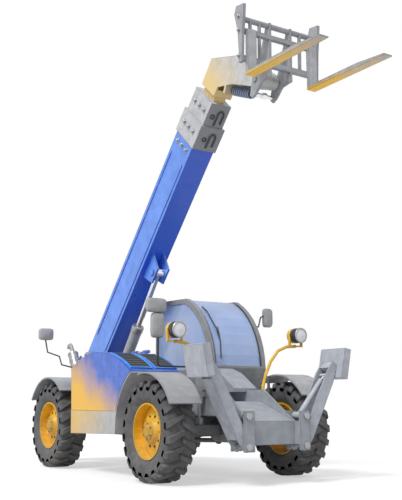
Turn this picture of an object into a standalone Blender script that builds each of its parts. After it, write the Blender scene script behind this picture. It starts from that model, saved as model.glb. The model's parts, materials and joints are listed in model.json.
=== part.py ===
"""A four-wheel telehandler: offset telescopic boom, cab on the left, engine pod on the right.

Metres, +Z up, front towards -Y, the driver's left towards +X. Heights are above the ground.
Sizes below are given from the middle of the wheelbase, with the axles at AXLE_Z; the root empty
shifts them so that the tyres stand on the ground and the origin lies under the middle of the
whole machine.
"""

import math

import bmesh
import bpy
from mathutils import Matrix, Vector

for old in list(bpy.data.objects):
    bpy.data.objects.remove(old, do_unlink=True)

# ---------------------------------------------------------------- driving dimensions
SEAT_GAP = 0.0003          # between pieces that touch
PIN_GAP = 0.0008           # radial, pin to eye
RUN_GAP = 0.006            # side clearance of a moving piece

HALF_BASE = 1.525          # half the wheelbase
HALF_TRACK = 1.03          # centre line to wheel centre
TYRE_R = 0.625
TYRE_W = 0.41
WHEEL_STEPS = 28
RIM_R = 0.345
HUB_R = 0.13
KINGPIN_INSET = 0.25       # wheel centre to kingpin
FENDER_R = TYRE_R + 0.075
FENDER_T = 0.02

AXLE_Z = 0.62107           # height of the axles in these axes, whatever the tyre
FRONT_AXLE = -HALF_BASE
REAR_AXLE = HALF_BASE

BOOM_X = -0.10             # boom centre line
BOOM_W = 0.36
PLATE = 0.03               # main frame plate
SPINE_RIGHT = BOOM_X - BOOM_W / 2 - 0.08    # outer face of the right frame plate
SPINE_LEFT = BOOM_X + BOOM_W / 2 + 0.07     # outer face of the left frame plate
NOSE_HALF = 0.36           # half width of the frame's nose
NOSE_Y = FRONT_AXLE - 0.955                 # front face of the nose
NOSE_BACK = FRONT_AXLE + 0.425              # where the nose meets the spine
FRAME_REAR = REAR_AXLE + 0.895
FRAME_TOP = 1.10
FRAME_LOW = 0.52
FRAME_OVER_AXLE = 0.80

COUNTER_REAR = REAR_AXLE + 1.255            # rear face of the counterweight
PIVOT_Y = REAR_AXLE + 0.475                 # boom foot pin
PIVOT_Z = 1.60
PIVOT_R = 0.05
BOOM_ANGLE = math.radians(47.0)
BOOM_D = 0.54
BOOM_DROP = 0.05           # section centre below the foot pin's line
BOOM_WALL = 0.014
BOOM_STEP = 0.018          # gap between nested sections
PAD_GAP = 0.0005           # slider pad to inner section
BOOM_BACK = 0.22           # outer section behind the foot pin
BOOM_LENGTH = 4.20         # foot pin to the outer section's mouth
HEAD_LENGTHS = (0.36, 0.34)
HEAD_PROUD = 0.030         # head collar outside the section that it closes
NECK = 0.10                # fourth section seen between the last collar and the head
STROKE = BOOM_LENGTH - 1.10                 # travel of each section
OVERLAP = 0.62             # length that stays nested at full stroke
HEAD_S = BOOM_LENGTH + sum(HEAD_LENGTHS) + NECK     # foot of the cranked head, along the boom

LIFT_BASE_Y = PIVOT_Y - 0.30
LIFT_BASE_Z = 0.90
LIFT_EYE_S = 2.20          # along the boom from the foot pin
LIFT_EYE_N = 0.50          # below the foot pin's line
LIFT_BARREL_R = 0.085
LIFT_ROD_R = 0.045
LIFT_BARREL_LENGTH = 1.55

TILT_S = HEAD_S + 0.60     # carriage pin, along the boom
TILT_N = 1.06              # and below the foot pin's line
TILT_ARM = 0.18            # carriage pin to tilt cylinder pin
TILT_BARREL_R = 0.055
TILT_ROD_R = 0.03
TILT_LINE = math.radians(-23.0)   # fall of the tilt cylinder towards the forks

FORK_SPACING = 0.95
FORK_W = 0.13
FORK_T = 0.05
FORK_LENGTH = 1.30
FORK_HEIGHT = 0.58
FORK_BACK = 0.30           # carriage pin to the back of the fork shanks
CARRIAGE_W = 1.16

LEG_PIN_X = 0.43
LEG_PIN_Z = 0.46
LEG_CYL_Z = 0.81
LEG_ANGLE = math.radians(63.0)
LEG_DOWN = math.radians(79.0)     # swing from folded to standing
LEG_LENGTH = 1.11
LEG_Y0 = NOSE_Y - 0.08
LEG_Y1 = NOSE_Y + 0.14
LEG_CYL_AT = 0.95          # leg pin to cylinder pin on the leg
LEG_PIN_R = 0.028
LUG = 0.035
PAD_SIDE = 0.38
PAD_DEPTH = 0.46
PAD_T = 0.10
PAD_LIFT = 0.01            # foot pad above the ground, leg down
LEG_SIDE_T = 0.022
LEG_BARREL_R = 0.036
LEG_ROD_R = 0.02

POD_OUT = -1.20            # outboard face of the engine pod
POD_IN = SPINE_RIGHT - 0.11
POD_SPLIT = 0.855          # top of the tray, foot of the hood
POD_FRONT_TOP = (FRONT_AXLE + 0.425, 1.36)
POD_PEAK = (-0.20, 1.643)
POD_REAR_TOP = (0.73, 1.455)
POD_REAR = 0.69
ARCH_R = 0.83              # wheel arch in the pod, about the front wheel
HOOD_T = 0.02
HOOD_HINGE_X = POD_IN + 0.015
HOOD_HINGE_Z = 1.67
HINGE_PIN_R = 0.010

CAB_IN = SPINE_LEFT + 0.02
CAB_OUT = 1.10
CAB_WALL = 0.045
CAB_FLOOR = 0.82
CAB_FRONT = ((-0.90, 1.44), (-0.70, 2.06), (-0.22, 2.46))   # low, middle and top of the screen
CAB_REAR = 0.66
DOOR_HINGE_Y = 0.45
DOOR_HINGE_X = CAB_OUT + 0.020
DOOR_PIN_R = 0.008
DOOR_SLEEVES = ((1.20, 1.32), (1.94, 2.06))     # heights of the two hinge sleeves
GLASS_T = 0.006
CAB_CROWN = 2.475          # highest point of the roof
PILLAR = 0.075             # width of the frame around the side window and the doorway
DOOR_GAP = 0.004           # door edge to its frame
WINDOW_SUNK = 0.018        # windscreen below the frame's outer skin

MIRROR_RIGHT = -1.65       # outer edges of the outermost mirrors
MIRROR_LEFT = 1.41
FORK_TIP_Y = (
    PIVOT_Y - TILT_S * math.cos(BOOM_ANGLE) - TILT_N * math.sin(BOOM_ANGLE)
    - FORK_BACK - FORK_T - FORK_LENGTH
)
ORIGIN_X = (MIRROR_RIGHT + MIRROR_LEFT) / 2     # middle of the whole machine
ORIGIN_Y = (FORK_TIP_Y + COUNTER_REAR) / 2

# ---------------------------------------------------------------- scene helpers
model = bpy.data.collections.new("telehandler")
cutters = bpy.data.collections.new("cutters")
for group in (model, cutters):
    bpy.context.scene.collection.children.link(group)

materials = {}


def paint(name, colour, roughness, metallic=0.0):
    """A plain painted, rubber or glass finish."""
    mat = bpy.data.materials.new(name)
    mat.use_nodes = True
    shader = mat.node_tree.nodes["Principled BSDF"]
    shader.inputs["Base Color"].default_value = (*colour, 1.0)
    shader.inputs["Roughness"].default_value = roughness
    shader.inputs["Metallic"].default_value = metallic
    materials[name] = mat


for finish in (
    ("boom_blue", (0.10, 0.27, 0.85), 0.40, 0.0),
    ("hood_blue", (0.05, 0.17, 0.66), 0.38, 0.0),
    ("frame_grey", (0.20, 0.20, 0.21), 0.55, 0.0),
    ("arm_grey", (0.55, 0.56, 0.57), 0.45, 0.0),
    ("trim_grey", (0.32, 0.33, 0.34), 0.60, 0.0),
    ("lamp_yellow", (0.90, 0.55, 0.06), 0.45, 0.0),
    ("rim_yellow", (0.92, 0.55, 0.03), 0.45, 0.0),
    ("tyre_rubber", (0.10, 0.10, 0.10), 0.85, 0.0),
    ("rod_chrome", (0.75, 0.76, 0.78), 0.15, 1.0),
    ("barrel_grey", (0.40, 0.41, 0.43), 0.40, 0.0),
    ("cab_glass", (0.55, 0.68, 0.95), 0.06, 0.0),
    ("seat_black", (0.05, 0.05, 0.055), 0.80, 0.0),
    ("engine_iron", (0.16, 0.16, 0.17), 0.60, 0.6),
    ("fork_steel", (0.48, 0.49, 0.50), 0.50, 0.3),
):
    paint(*finish)


def empty(name, place, parent=None):
    """A joint or placing empty; place is in the parent's own axes."""
    made = bpy.data.objects.new(name, None)
    model.objects.link(made)
    made.parent = parent
    made.location = place
    return made


def new_object(name, mesh, finish):
    made = bpy.data.objects.new(name, mesh)
    model.objects.link(made)
    if finish:
        made.data.materials.append(materials[finish])
    return made


def block(low, high, name="block", finish=None):
    """A box between two corners."""
    low = Vector(low)
    high = Vector(high)
    mesh = bpy.data.meshes.new(name)
    shape = bmesh.new()
    bmesh.ops.create_cube(shape, size=1.0)
    bmesh.ops.scale(shape, vec=high - low, verts=shape.verts)
    bmesh.ops.translate(shape, vec=(low + high) / 2, verts=shape.verts)
    shape.to_mesh(mesh)
    shape.free()
    return new_object(name, mesh, finish)


def rod(start, end, radius, sides=16, name="rod", finish=None, end_radius=None):
    """A round bar, or a cone, from start to end."""
    start = Vector(start)
    end = Vector(end)
    line = end - start
    mesh = bpy.data.meshes.new(name)
    shape = bmesh.new()
    bmesh.ops.create_cone(
        shape,
        cap_ends=True,
        segments=sides,
        radius1=radius,
        radius2=radius if end_radius is None else end_radius,
        depth=line.length,
    )
    turn = line.to_track_quat("Z", "Y").to_matrix().to_4x4()
    bmesh.ops.transform(
        shape, matrix=Matrix.Translation((start + end) / 2) @ turn, verts=shape.verts
    )
    shape.to_mesh(mesh)
    shape.free()
    return new_object(name, mesh, finish)


def to_mesh(curve_object, name, finish=None):
    """The curve as a closed mesh, its caps welded."""
    graph = bpy.context.evaluated_depsgraph_get()
    mesh = bpy.data.meshes.new_from_object(curve_object.evaluated_get(graph))
    mesh.transform(curve_object.matrix_world)
    shape = bmesh.new()
    shape.from_mesh(mesh)
    bmesh.ops.remove_doubles(shape, verts=shape.verts, dist=0.00005)
    bmesh.ops.recalc_face_normals(shape, faces=shape.faces)
    shape.to_mesh(mesh)
    shape.free()
    mesh.materials.clear()
    bpy.data.objects.remove(curve_object, do_unlink=True)
    return new_object(name, mesh, finish)


SIDE_PLANE = Matrix(((0, 0, 1, 0), (1, 0, 0, 0), (0, 1, 0, 0), (0, 0, 0, 1)))
FRONT_PLANE = Matrix(((1, 0, 0, 0), (0, 0, -1, 0), (0, 1, 0, 0), (0, 0, 0, 1)))


def plate(outline, low, high, name="plate", finish=None, plane=SIDE_PLANE, holes=()):
    """A flat outline with a thickness: (y, z) points from x=low to x=high on SIDE_PLANE,
    (x, z) points from y=low to y=high on FRONT_PLANE."""
    curve = bpy.data.curves.new(name, "CURVE")
    curve.dimensions = "2D"
    curve.fill_mode = "BOTH"
    curve.extrude = (high - low) / 2
    for loop in (outline, *holes):
        spline = curve.splines.new("POLY")
        spline.points.add(len(loop) - 1)
        for point, (a, b) in zip(spline.points, loop):
            point.co = (a, b, 0.0, 1.0)
        spline.use_cyclic_u = True
    made = bpy.data.objects.new(name, curve)
    model.objects.link(made)
    middle = (low + high) / 2
    shift = (middle, 0, 0) if plane is SIDE_PLANE else (0, middle, 0)
    made.matrix_world = Matrix.Translation(shift) @ plane
    bpy.context.view_layer.update()
    return to_mesh(made, name, finish)


def tube(points, radius, name="tube", finish=None, resolution=2):
    """A bent round bar through the points."""
    curve = bpy.data.curves.new(name, "CURVE")
    curve.dimensions = "3D"
    curve.bevel_depth = radius
    curve.bevel_resolution = resolution
    curve.use_fill_caps = True
    spline = curve.splines.new("POLY")
    spline.points.add(len(points) - 1)
    for point, place in zip(spline.points, points):
        point.co = (*place, 1.0)
    made = bpy.data.objects.new(name, curve)
    model.objects.link(made)
    bpy.context.view_layer.update()
    return to_mesh(made, name, finish)


def combine(base, others, operation):
    """Joins or cuts by Booleans, and removes what it used. Many pieces here end flush with
    each other, where the exact solver leaves open edges, so the manifold solver is used."""
    for other in others:
        step = base.modifiers.new("shape", "BOOLEAN")
        step.operation = operation
        step.solver = "MANIFOLD"
        step.object = other
        graph = bpy.context.evaluated_depsgraph_get()
        mesh = bpy.data.meshes.new_from_object(base.evaluated_get(graph))
        base.modifiers.clear()
        base.data = mesh
        bpy.data.objects.remove(other, do_unlink=True)
    return base


def join(name, finish, first, *others):
    """One body from overlapping pieces."""
    base = combine(first, others, "UNION")
    base.name = name
    base.data.name = name
    base.data.materials.clear()
    base.data.materials.append(materials[finish])
    return base


def cut(base, *others):
    return combine(base, others, "DIFFERENCE")


def smooth(made, angle=35.0):
    made.data.shade_smooth()
    made.data.set_sharp_from_angle(angle=math.radians(angle))
    return made


def arc(centre, radius, start, end, steps):
    """Points on an arc, angles in degrees."""
    turns = [math.radians(start + (end - start) * i / steps) for i in range(steps + 1)]
    return [
        (centre[0] + radius * math.cos(t), centre[1] + radius * math.sin(t)) for t in turns
    ]


def hang(made, parent):
    """Parents a piece modelled in machine axes without moving it."""
    bpy.context.view_layer.update()
    made.parent = parent
    made.matrix_parent_inverse = parent.matrix_world.inverted() @ root.matrix_world
    return made


RIDE = TYRE_R * math.cos(math.pi / WHEEL_STEPS) - AXLE_Z     # each tyre stands on a flat
root = empty("root", (-ORIGIN_X, -ORIGIN_Y, RIDE))
bpy.context.view_layer.update()


def joint(name, place, parent=root):
    """An empty on a joint axis, given in machine axes."""
    made = empty(name, (0, 0, 0))
    made.location = Vector(place) + root.location
    bpy.context.view_layer.update()
    if parent:
        keep = made.matrix_world.copy()
        made.parent = parent
        made.matrix_parent_inverse = parent.matrix_world.inverted()
        made.matrix_world = keep
        bpy.context.view_layer.update()
    return made


# ---------------------------------------------------------------- boom axes
ALONG = Vector((0, -math.cos(BOOM_ANGLE), math.sin(BOOM_ANGLE)))
BELOW = Vector((0, -math.sin(BOOM_ANGLE), -math.cos(BOOM_ANGLE)))
FOOT = Vector((0, PIVOT_Y, PIVOT_Z))


def on_boom(s, n, x=0.0):
    """A place along the boom, below the foot pin's line, at x."""
    return FOOT + ALONG * s + BELOW * n + Vector((x, 0, 0))


def boom_outline(points):
    """Boom (s, n) points as (y, z) points."""
    return [tuple(on_boom(s, n))[1:] for s, n in points]


def boom_box(s0, s1, half_w, n0, n1, name="box"):
    """A box square to the boom."""
    return plate(
        boom_outline([(s0, n0), (s1, n0), (s1, n1), (s0, n1)]),
        BOOM_X - half_w,
        BOOM_X + half_w,
        name,
    )


# ---------------------------------------------------------------- frame
def build_frame():
    """Two spine plates with the boom between them, the nose box, and the outriggers."""
    over = FRAME_OVER_AXLE
    front = NOSE_BACK - 0.10
    spine = [
        (front, 0.72),
        (NOSE_BACK, FRAME_LOW),
        (REAR_AXLE - 0.405, FRAME_LOW),
        (REAR_AXLE - 0.265, over),
        (REAR_AXLE + 0.265, over),
        (REAR_AXLE + 0.405, 0.62),
        (FRAME_REAR, 0.62),
        (FRAME_REAR, FRAME_TOP),
        (front, FRAME_TOP),
    ]
    tower = [
        (PIVOT_Y - 0.42, over + 0.02),
        (PIVOT_Y - 0.22, PIVOT_Z + 0.10),
        *arc((PIVOT_Y, PIVOT_Z), 0.17, 155, 15, 7),
        (PIVOT_Y + 0.34, FRAME_TOP - 0.05),
        (PIVOT_Y + 0.34, FRAME_TOP - 0.35),
    ]
    nose = [
        (NOSE_Y, 0.47),
        (NOSE_Y + 0.38, 0.50),
        (FRONT_AXLE - 0.275, over),
        (FRONT_AXLE + 0.275, over),
        (NOSE_BACK, 0.56),
        (NOSE_BACK, FRAME_TOP + 0.03),
        (FRONT_AXLE - 0.335, FRAME_TOP + 0.03),
        (NOSE_Y + 0.14, 0.83),
        (NOSE_Y, 0.75),
    ]
    deck = [
        (NOSE_Y, 0.75),
        (NOSE_Y, 0.715),
        (FRONT_AXLE - 0.275, 0.955),
        (front + 0.05, 0.955),
        (front + 0.05, 0.98),
        (FRONT_AXLE - 0.275, 0.98),
    ]
    parts = [
        plate(spine, SPINE_RIGHT, SPINE_RIGHT + PLATE),
        plate(spine, SPINE_LEFT - PLATE, SPINE_LEFT),
        plate(tower, SPINE_RIGHT, SPINE_RIGHT + 0.05),
        plate(tower, SPINE_LEFT - 0.05, SPINE_LEFT),
        plate(nose, -NOSE_HALF, -NOSE_HALF + PLATE),
        plate(nose, NOSE_HALF - PLATE, NOSE_HALF),
        block((SPINE_RIGHT, NOSE_BACK, FRAME_LOW),
              (SPINE_LEFT, REAR_AXLE - 0.405, FRAME_LOW + PLATE)),
        block((min(SPINE_RIGHT, -NOSE_HALF), front, 0.60), (NOSE_HALF, NOSE_BACK, 0.98)),
        block((-NOSE_HALF, NOSE_Y, 0.47), (NOSE_HALF, NOSE_Y + 0.04, 0.75)),
        plate(deck, -NOSE_HALF, NOSE_HALF),
        block((SPINE_RIGHT, REAR_AXLE - 0.365, 0.66), (SPINE_LEFT, REAR_AXLE - 0.275, 0.76)),
        block((SPINE_RIGHT, REAR_AXLE + 0.295, 0.64), (SPINE_LEFT, REAR_AXLE + 0.385, 0.74)),
        block((SPINE_RIGHT, FRAME_REAR - 0.03, 0.62), (SPINE_LEFT, FRAME_REAR, FRAME_TOP)),
        rod((SPINE_RIGHT - 0.03, PIVOT_Y, PIVOT_Z), (SPINE_LEFT + 0.03, PIVOT_Y, PIVOT_Z),
            PIVOT_R, 24),
        rod((SPINE_RIGHT, LIFT_BASE_Y, LIFT_BASE_Z), (SPINE_LEFT, LIFT_BASE_Y, LIFT_BASE_Z),
            PIVOT_R - 0.01, 24),
    ]
    for y in (-0.42, 0.46):
        parts.append(
            block((SPINE_LEFT - 0.01, y, CAB_FLOOR - 0.12),
                  (CAB_OUT - 0.12, y + 0.10, CAB_FLOOR - SEAT_GAP))
        )
    # cowl in front of the cab, beside the boom
    parts.append(
        plate(
            [(-0.93, FRAME_TOP), (-0.93, 1.43), (-1.15, 1.36), (-1.50, 1.15), (-1.50, FRAME_TOP)],
            SPINE_LEFT - 0.02,
            0.50,
        )
    )
    parts.append(block((SPINE_LEFT - 0.02, -1.20, 0.90), (0.34, -0.93, FRAME_TOP + 0.01)))
    # leg lugs and their pins, both sides of the nose
    for side in (-1, 1):
        inner = side * (NOSE_HALF - 0.02)
        outer = side * (LEG_PIN_X + 0.06)
        for y0, y1 in ((LEG_Y0 - LUG, LEG_Y0 - RUN_GAP), (LEG_Y1 + RUN_GAP, LEG_Y1 + LUG)):
            parts.append(block((min(inner, outer), y0, LEG_PIN_Z - 0.06),
                               (max(inner, outer), y1, LEG_CYL_Z + 0.06)))
        web = side * NOSE_HALF
        parts.append(
            block((min(inner, web), LEG_Y0 - LUG, 0.47), (max(inner, web), LEG_Y1 + LUG, 0.75))
        )
        for z in (LEG_PIN_Z, LEG_CYL_Z):
            parts.append(
                rod((side * LEG_PIN_X, LEG_Y0 - 0.055, z), (side * LEG_PIN_X, LEG_Y1 + 0.05, z),
                    LEG_PIN_R, 20)
            )
    return hang(join("chassis_frame", "frame_grey", *parts), root)


# ---------------------------------------------------------------- turned and round pieces
def turned(name, profile, finish, place, out=1):
    """A closed (radius, x) profile turned about the X axis; out is the outboard direction."""
    mesh = bpy.data.meshes.new(name)
    half = math.pi / WHEEL_STEPS
    points = [(out * x, r * math.sin(half), -r * math.cos(half)) for r, x in profile]
    ends = [(i, (i + 1) % len(points)) for i in range(len(points))]
    mesh.from_pydata(points, ends, [])
    made = bpy.data.objects.new(name, mesh)
    model.objects.link(made)
    screw = made.modifiers.new("turn", "SCREW")
    screw.axis = "X"
    screw.steps = WHEEL_STEPS
    screw.render_steps = WHEEL_STEPS
    screw.use_merge_vertices = True
    screw.merge_threshold = 0.00005
    bpy.context.view_layer.update()
    graph = bpy.context.evaluated_depsgraph_get()
    solid = bpy.data.meshes.new_from_object(made.evaluated_get(graph))
    made.modifiers.clear()
    shape = bmesh.new()
    shape.from_mesh(solid)
    bmesh.ops.remove_doubles(shape, verts=shape.verts, dist=0.00005)
    bmesh.ops.recalc_face_normals(shape, faces=shape.faces)
    bmesh.ops.translate(shape, vec=Vector(place), verts=shape.verts)
    shape.to_mesh(solid)
    shape.free()
    made.data = solid
    if finish:
        made.data.materials.append(materials[finish])
    return smooth(made)


def circle_through(a, b, c):
    """Centre and radius of the circle through three points."""
    (ax, ay), (bx, by), (cx, cy) = a, b, c
    d = 2 * (ax * (by - cy) + bx * (cy - ay) + cx * (ay - by))
    a2 = ax * ax + ay * ay
    b2 = bx * bx + by * by
    c2 = cx * cx + cy * cy
    x = (a2 * (by - cy) + b2 * (cy - ay) + c2 * (ay - by)) / d
    y = (a2 * (cx - bx) + b2 * (ax - cx) + c2 * (bx - ax)) / d
    return (x, y), math.hypot(ax - x, ay - y)


def bearing(centre, point):
    return math.degrees(math.atan2(point[1] - centre[1], point[0] - centre[0]))


def arc_through(points, inset=0.0, steps=8):
    """The arc from the first to the last of three points, moved in towards its centre."""
    centre, radius = circle_through(*points)
    first = bearing(centre, points[0])
    last = bearing(centre, points[2])
    return arc(centre, radius - inset, first, last, steps)


# ---------------------------------------------------------------- rear, tray and engine
def build_counterweight():
    near = FRAME_REAR + SEAT_GAP
    outline = [
        (near, 0.62), (COUNTER_REAR - 0.16, 0.62), (COUNTER_REAR, 0.82), (COUNTER_REAR, 1.08),
        (COUNTER_REAR - 0.10, 1.16), (near, 1.16),
    ]
    made = plate(outline, -0.90, 0.90, "counterweight", "frame_grey")
    return hang(made, root)


FRONT_WHEEL = (FRONT_AXLE, AXLE_Z)


def build_tray():
    """The bin under the hood, the arch sheet behind the front wheel, and the inboard wall."""
    top = POD_SPLIT - SEAT_GAP
    low = math.degrees(math.asin((0.56 - AXLE_Z) / ARCH_R))
    high = bearing(FRONT_WHEEL, POD_FRONT_TOP)
    bin_front = FRONT_AXLE + 0.825
    wall = (POD_IN + 0.005, POD_IN + 0.025)
    hinge = (HOOD_HINGE_X, HOOD_HINGE_Z)
    parts = [
        plate(
            [(bin_front, 0.56), (POD_REAR, 0.53), (POD_REAR + 0.01, top), (bin_front - 0.015, top)],
            POD_OUT,
            SPINE_RIGHT - SEAT_GAP,
        ),
        plate(
            [*arc(FRONT_WHEEL, ARCH_R, low, high, 9),
             *arc(FRONT_WHEEL, ARCH_R + HOOD_T, high, low, 9)],
            POD_OUT,
            wall[1],
        ),
        plate(
            [(FRONT_AXLE + 0.805, 0.80), (FRONT_AXLE + 0.725, 1.10), (FRONT_AXLE + 0.505, 1.30),
             (FRONT_AXLE + 0.665, 1.42), (-0.60, 1.52), (-0.20, 1.57), (0.40, 1.50),
             (0.66, 1.38), (0.66, 0.80)],
            *wall,
        ),
        block((POD_IN, -0.55, 0.70), (SPINE_RIGHT - SEAT_GAP, 0.55, 0.84)),
        rod((hinge[0], -0.27, hinge[1]), (hinge[0], 0.27, hinge[1]), HINGE_PIN_R, 16),
        block((wall[0], -0.05, 1.45), (wall[1], 0.05, HOOD_HINGE_Z)),
    ]
    return hang(smooth(join("engine_tray", "arm_grey", *parts)), root)


def build_hood(parent):
    """One shell: top, outboard side and rear, open below and inboard."""
    def outline(inset, foot):
        front = ARCH_R + HOOD_T + RUN_GAP + inset
        low = math.degrees(math.asin((foot - AXLE_Z) / front))
        tip = bearing(FRONT_WHEEL, POD_FRONT_TOP)
        top = arc_through((POD_FRONT_TOP, POD_PEAK, POD_REAR_TOP), 0.0, 10)
        return [
            *arc(FRONT_WHEEL, front, low, tip - 1.5 * inset / HOOD_T, 10),
            *[(min(y, POD_REAR_TOP[0] - inset), z - inset) for y, z in top[1:]],
            (POD_REAR - inset, foot),
        ]

    shell = plate(outline(0.0, POD_SPLIT), POD_OUT, POD_IN, "engine_hood", "hood_blue")
    inside = plate(outline(HOOD_T, POD_SPLIT - 0.05), POD_OUT + HOOD_T, POD_IN + 0.05)
    hood = cut(shell, inside)
    for side in (-1, 1):
        y0, y1 = sorted((side * 0.09, side * 0.24))
        strap = block((POD_IN - 0.04, y0, 1.59), (HOOD_HINGE_X - 0.014, y1, HOOD_HINGE_Z))
        sleeve = rod((HOOD_HINGE_X, y0, HOOD_HINGE_Z), (HOOD_HINGE_X, y1, HOOD_HINGE_Z), 0.024, 16)
        combine(hood, [strap, sleeve], "UNION")
    bore = rod((HOOD_HINGE_X, -0.3, HOOD_HINGE_Z), (HOOD_HINGE_X, 0.3, HOOD_HINGE_Z),
               HINGE_PIN_R + PIN_GAP, 16)
    return hang(smooth(cut(hood, bore), 20), parent)


def build_engine():
    made = block((-1.02, -0.50, POD_SPLIT), (-0.62, 0.45, 1.38), "engine_block", "engine_iron")
    return hang(made, root)


def build_exhaust():
    """Two canisters and a tail pipe that curls over, on a bracket behind the hood."""
    parts = [
        block((-1.12, POD_REAR + 0.01 + SEAT_GAP, 0.76), (-0.84, POD_REAR + 0.055, 0.85)),
        block((-1.12, POD_REAR + 0.045, 0.80), (-0.84, POD_REAR + 0.065, 1.50)),
        rod((-1.06, 0.835, 1.42), (-1.06, 1.00, 1.68), 0.075, 16),
        rod((-0.90, 0.825, 1.42), (-0.90, 0.96, 1.63), 0.070, 16),
        block((-1.08, POD_REAR + 0.05, 1.44), (-0.88, 0.83, 1.48)),
        tube([(-1.06, 0.98, 1.66), (-1.06, 1.06, 1.78), (-1.06, 1.10, 1.81),
              (-1.06, 1.14, 1.80), (-1.06, 1.155, 1.76)], 0.03),
    ]
    return hang(smooth(join("exhaust", "barrel_grey", *parts)), root)


def mirror_block(centre, width, height, depth=0.05):
    x, y, z = centre
    return block((x - width / 2, y - depth / 2, z - height / 2),
                 (x + width / 2, y + depth / 2, z + height / 2))


def build_mirrors():
    y = NOSE_BACK - 0.04
    post = [
        (-NOSE_HALF + PLATE / 2, y, FRAME_TOP + 0.03 + SEAT_GAP),
        (-NOSE_HALF + PLATE / 2, y, 1.39),
        (-0.39, y, 1.43),
        (-0.79, y, 1.43),
        (-0.82, y, 1.46),
        (-0.82, y, 2.34),
    ]
    front = join(
        "mirrors_right_front", "trim_grey", tube(post, 0.014),
        mirror_block((-0.85, y, 2.22), 0.30, 0.19), mirror_block((-0.83, y, 1.96), 0.19, 0.33),
    )
    arm = [
        (-1.12 - SEAT_GAP, 0.745, 1.46),
        (-1.16, 0.745, 1.46),
        (-1.33, 0.78, 1.50),
        (-1.36, 0.80, 1.62),
        (-1.52, 0.86, 1.68),
        (-1.56, 0.88, 1.86),
    ]
    rear = join(
        "mirror_right_rear", "trim_grey", tube(arm, 0.012),
        mirror_block((MIRROR_RIGHT + 0.11, 0.88, 1.94), 0.22, 0.17),
    )
    stalk = [
        (CAB_OUT + SEAT_GAP, -0.655, 2.06),
        (CAB_OUT + 0.06, -0.655, 2.06),
        (1.20, -0.655, 2.20),
        (1.30, -0.655, 2.25),
    ]
    left = join(
        "mirror_left", "trim_grey", tube(stalk, 0.013),
        mirror_block((MIRROR_LEFT - 0.08, -0.655, 2.20), 0.16, 0.28),
    )
    for made in (front, rear, left):
        hang(smooth(made), root)


# ---------------------------------------------------------------- cab
def cab_outline(inset=0.0, low=None, rear=None):
    """The cab's side profile, moved in by inset; low and rear trim it for a window or door."""
    front = arc_through(CAB_FRONT, inset)
    back = (CAB_REAR if rear is None else rear) - inset
    foot = (CAB_FLOOR if low is None else low) + inset
    top = [(0.42, CAB_CROWN - inset), (0.60, 2.40 - 0.6 * inset)]
    tail = [*[(y, z) for y, z in top if y < back], (back, top[-1][1]), (back, foot)]
    sill = [(-0.60 + inset, foot), (-0.60 + inset, 1.03 + 0.4 * inset), (-0.85 + inset, 1.17)]
    if low is not None and low > 1.2:
        sill = [(front[0][0] + 0.02, foot)]
    return [*front, *tail, *sill]


def build_cab():
    outer = plate(cab_outline(), CAB_IN, CAB_OUT, "cab_shell", "trim_grey")
    wall = CAB_WALL
    room = plate(cab_outline(wall), CAB_IN + wall, CAB_OUT - wall)
    screen = block((CAB_IN + 0.07, -1.3, 1.47), (CAB_OUT - 0.07, 0.06, 2.7))
    side = plate(cab_outline(PILLAR, 1.35), CAB_IN - 0.05, CAB_IN + wall + 0.01)
    rear = block((CAB_IN + 0.09, CAB_REAR - 0.15, 1.42), (CAB_OUT - 0.09, CAB_REAR + 0.1, 2.30))
    doorway = plate(cab_outline(PILLAR, CAB_FLOOR, DOOR_HINGE_Y + PILLAR + DOOR_GAP),
                    CAB_OUT - wall - 0.01, CAB_OUT + 0.05)
    shell = cut(outer, room, screen, side, rear, doorway)
    for low, high in DOOR_SLEEVES:
        for z in (low - 0.035, high + 0.005):
            near = DOOR_HINGE_Y + DOOR_GAP + 0.0005
            combine(shell, [block((CAB_OUT - 0.01, near, z),
                                  (DOOR_HINGE_X + 0.01, near + 0.05, z + 0.03))], "UNION")
        axis = (DOOR_HINGE_X, DOOR_HINGE_Y)
        pin = rod((*axis, low - 0.03), (*axis, high + 0.03), DOOR_PIN_R, 16)
        combine(shell, [pin], "UNION")
    hang(smooth(shell), root)

    centre, radius = circle_through(*CAB_FRONT)
    sunk = radius - WINDOW_SUNK
    rise = (1.47 + SEAT_GAP - centre[1]) / (sunk - 0.002)
    foot = 180 - math.degrees(math.asin(rise))
    inner = bearing(centre, CAB_FRONT[2])
    crown = CAB_CROWN - 0.012
    screen_outline = [
        *arc(centre, sunk, foot, inner, 8),
        (0.06 - SEAT_GAP, crown),
        (0.06 - SEAT_GAP, crown - GLASS_T),
        *arc(centre, sunk - GLASS_T, inner, foot, 8),
    ]
    inset = SEAT_GAP
    hang(
        plate(screen_outline, CAB_IN + 0.07 + inset, CAB_OUT - 0.07 - inset,
              "windscreen", "cab_glass"),
        root,
    )
    hang(
        plate(cab_outline(PILLAR + inset, 1.35), CAB_IN + 0.012, CAB_IN + 0.012 + GLASS_T,
              "cab_side_glass", "cab_glass"),
        root,
    )
    hang(
        block((CAB_IN + 0.09 + inset, CAB_REAR - 0.03, 1.42 + inset),
              (CAB_OUT - 0.09 - inset, CAB_REAR - 0.03 + GLASS_T, 2.30 - inset),
              "cab_rear_glass", "cab_glass"),
        root,
    )


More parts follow.
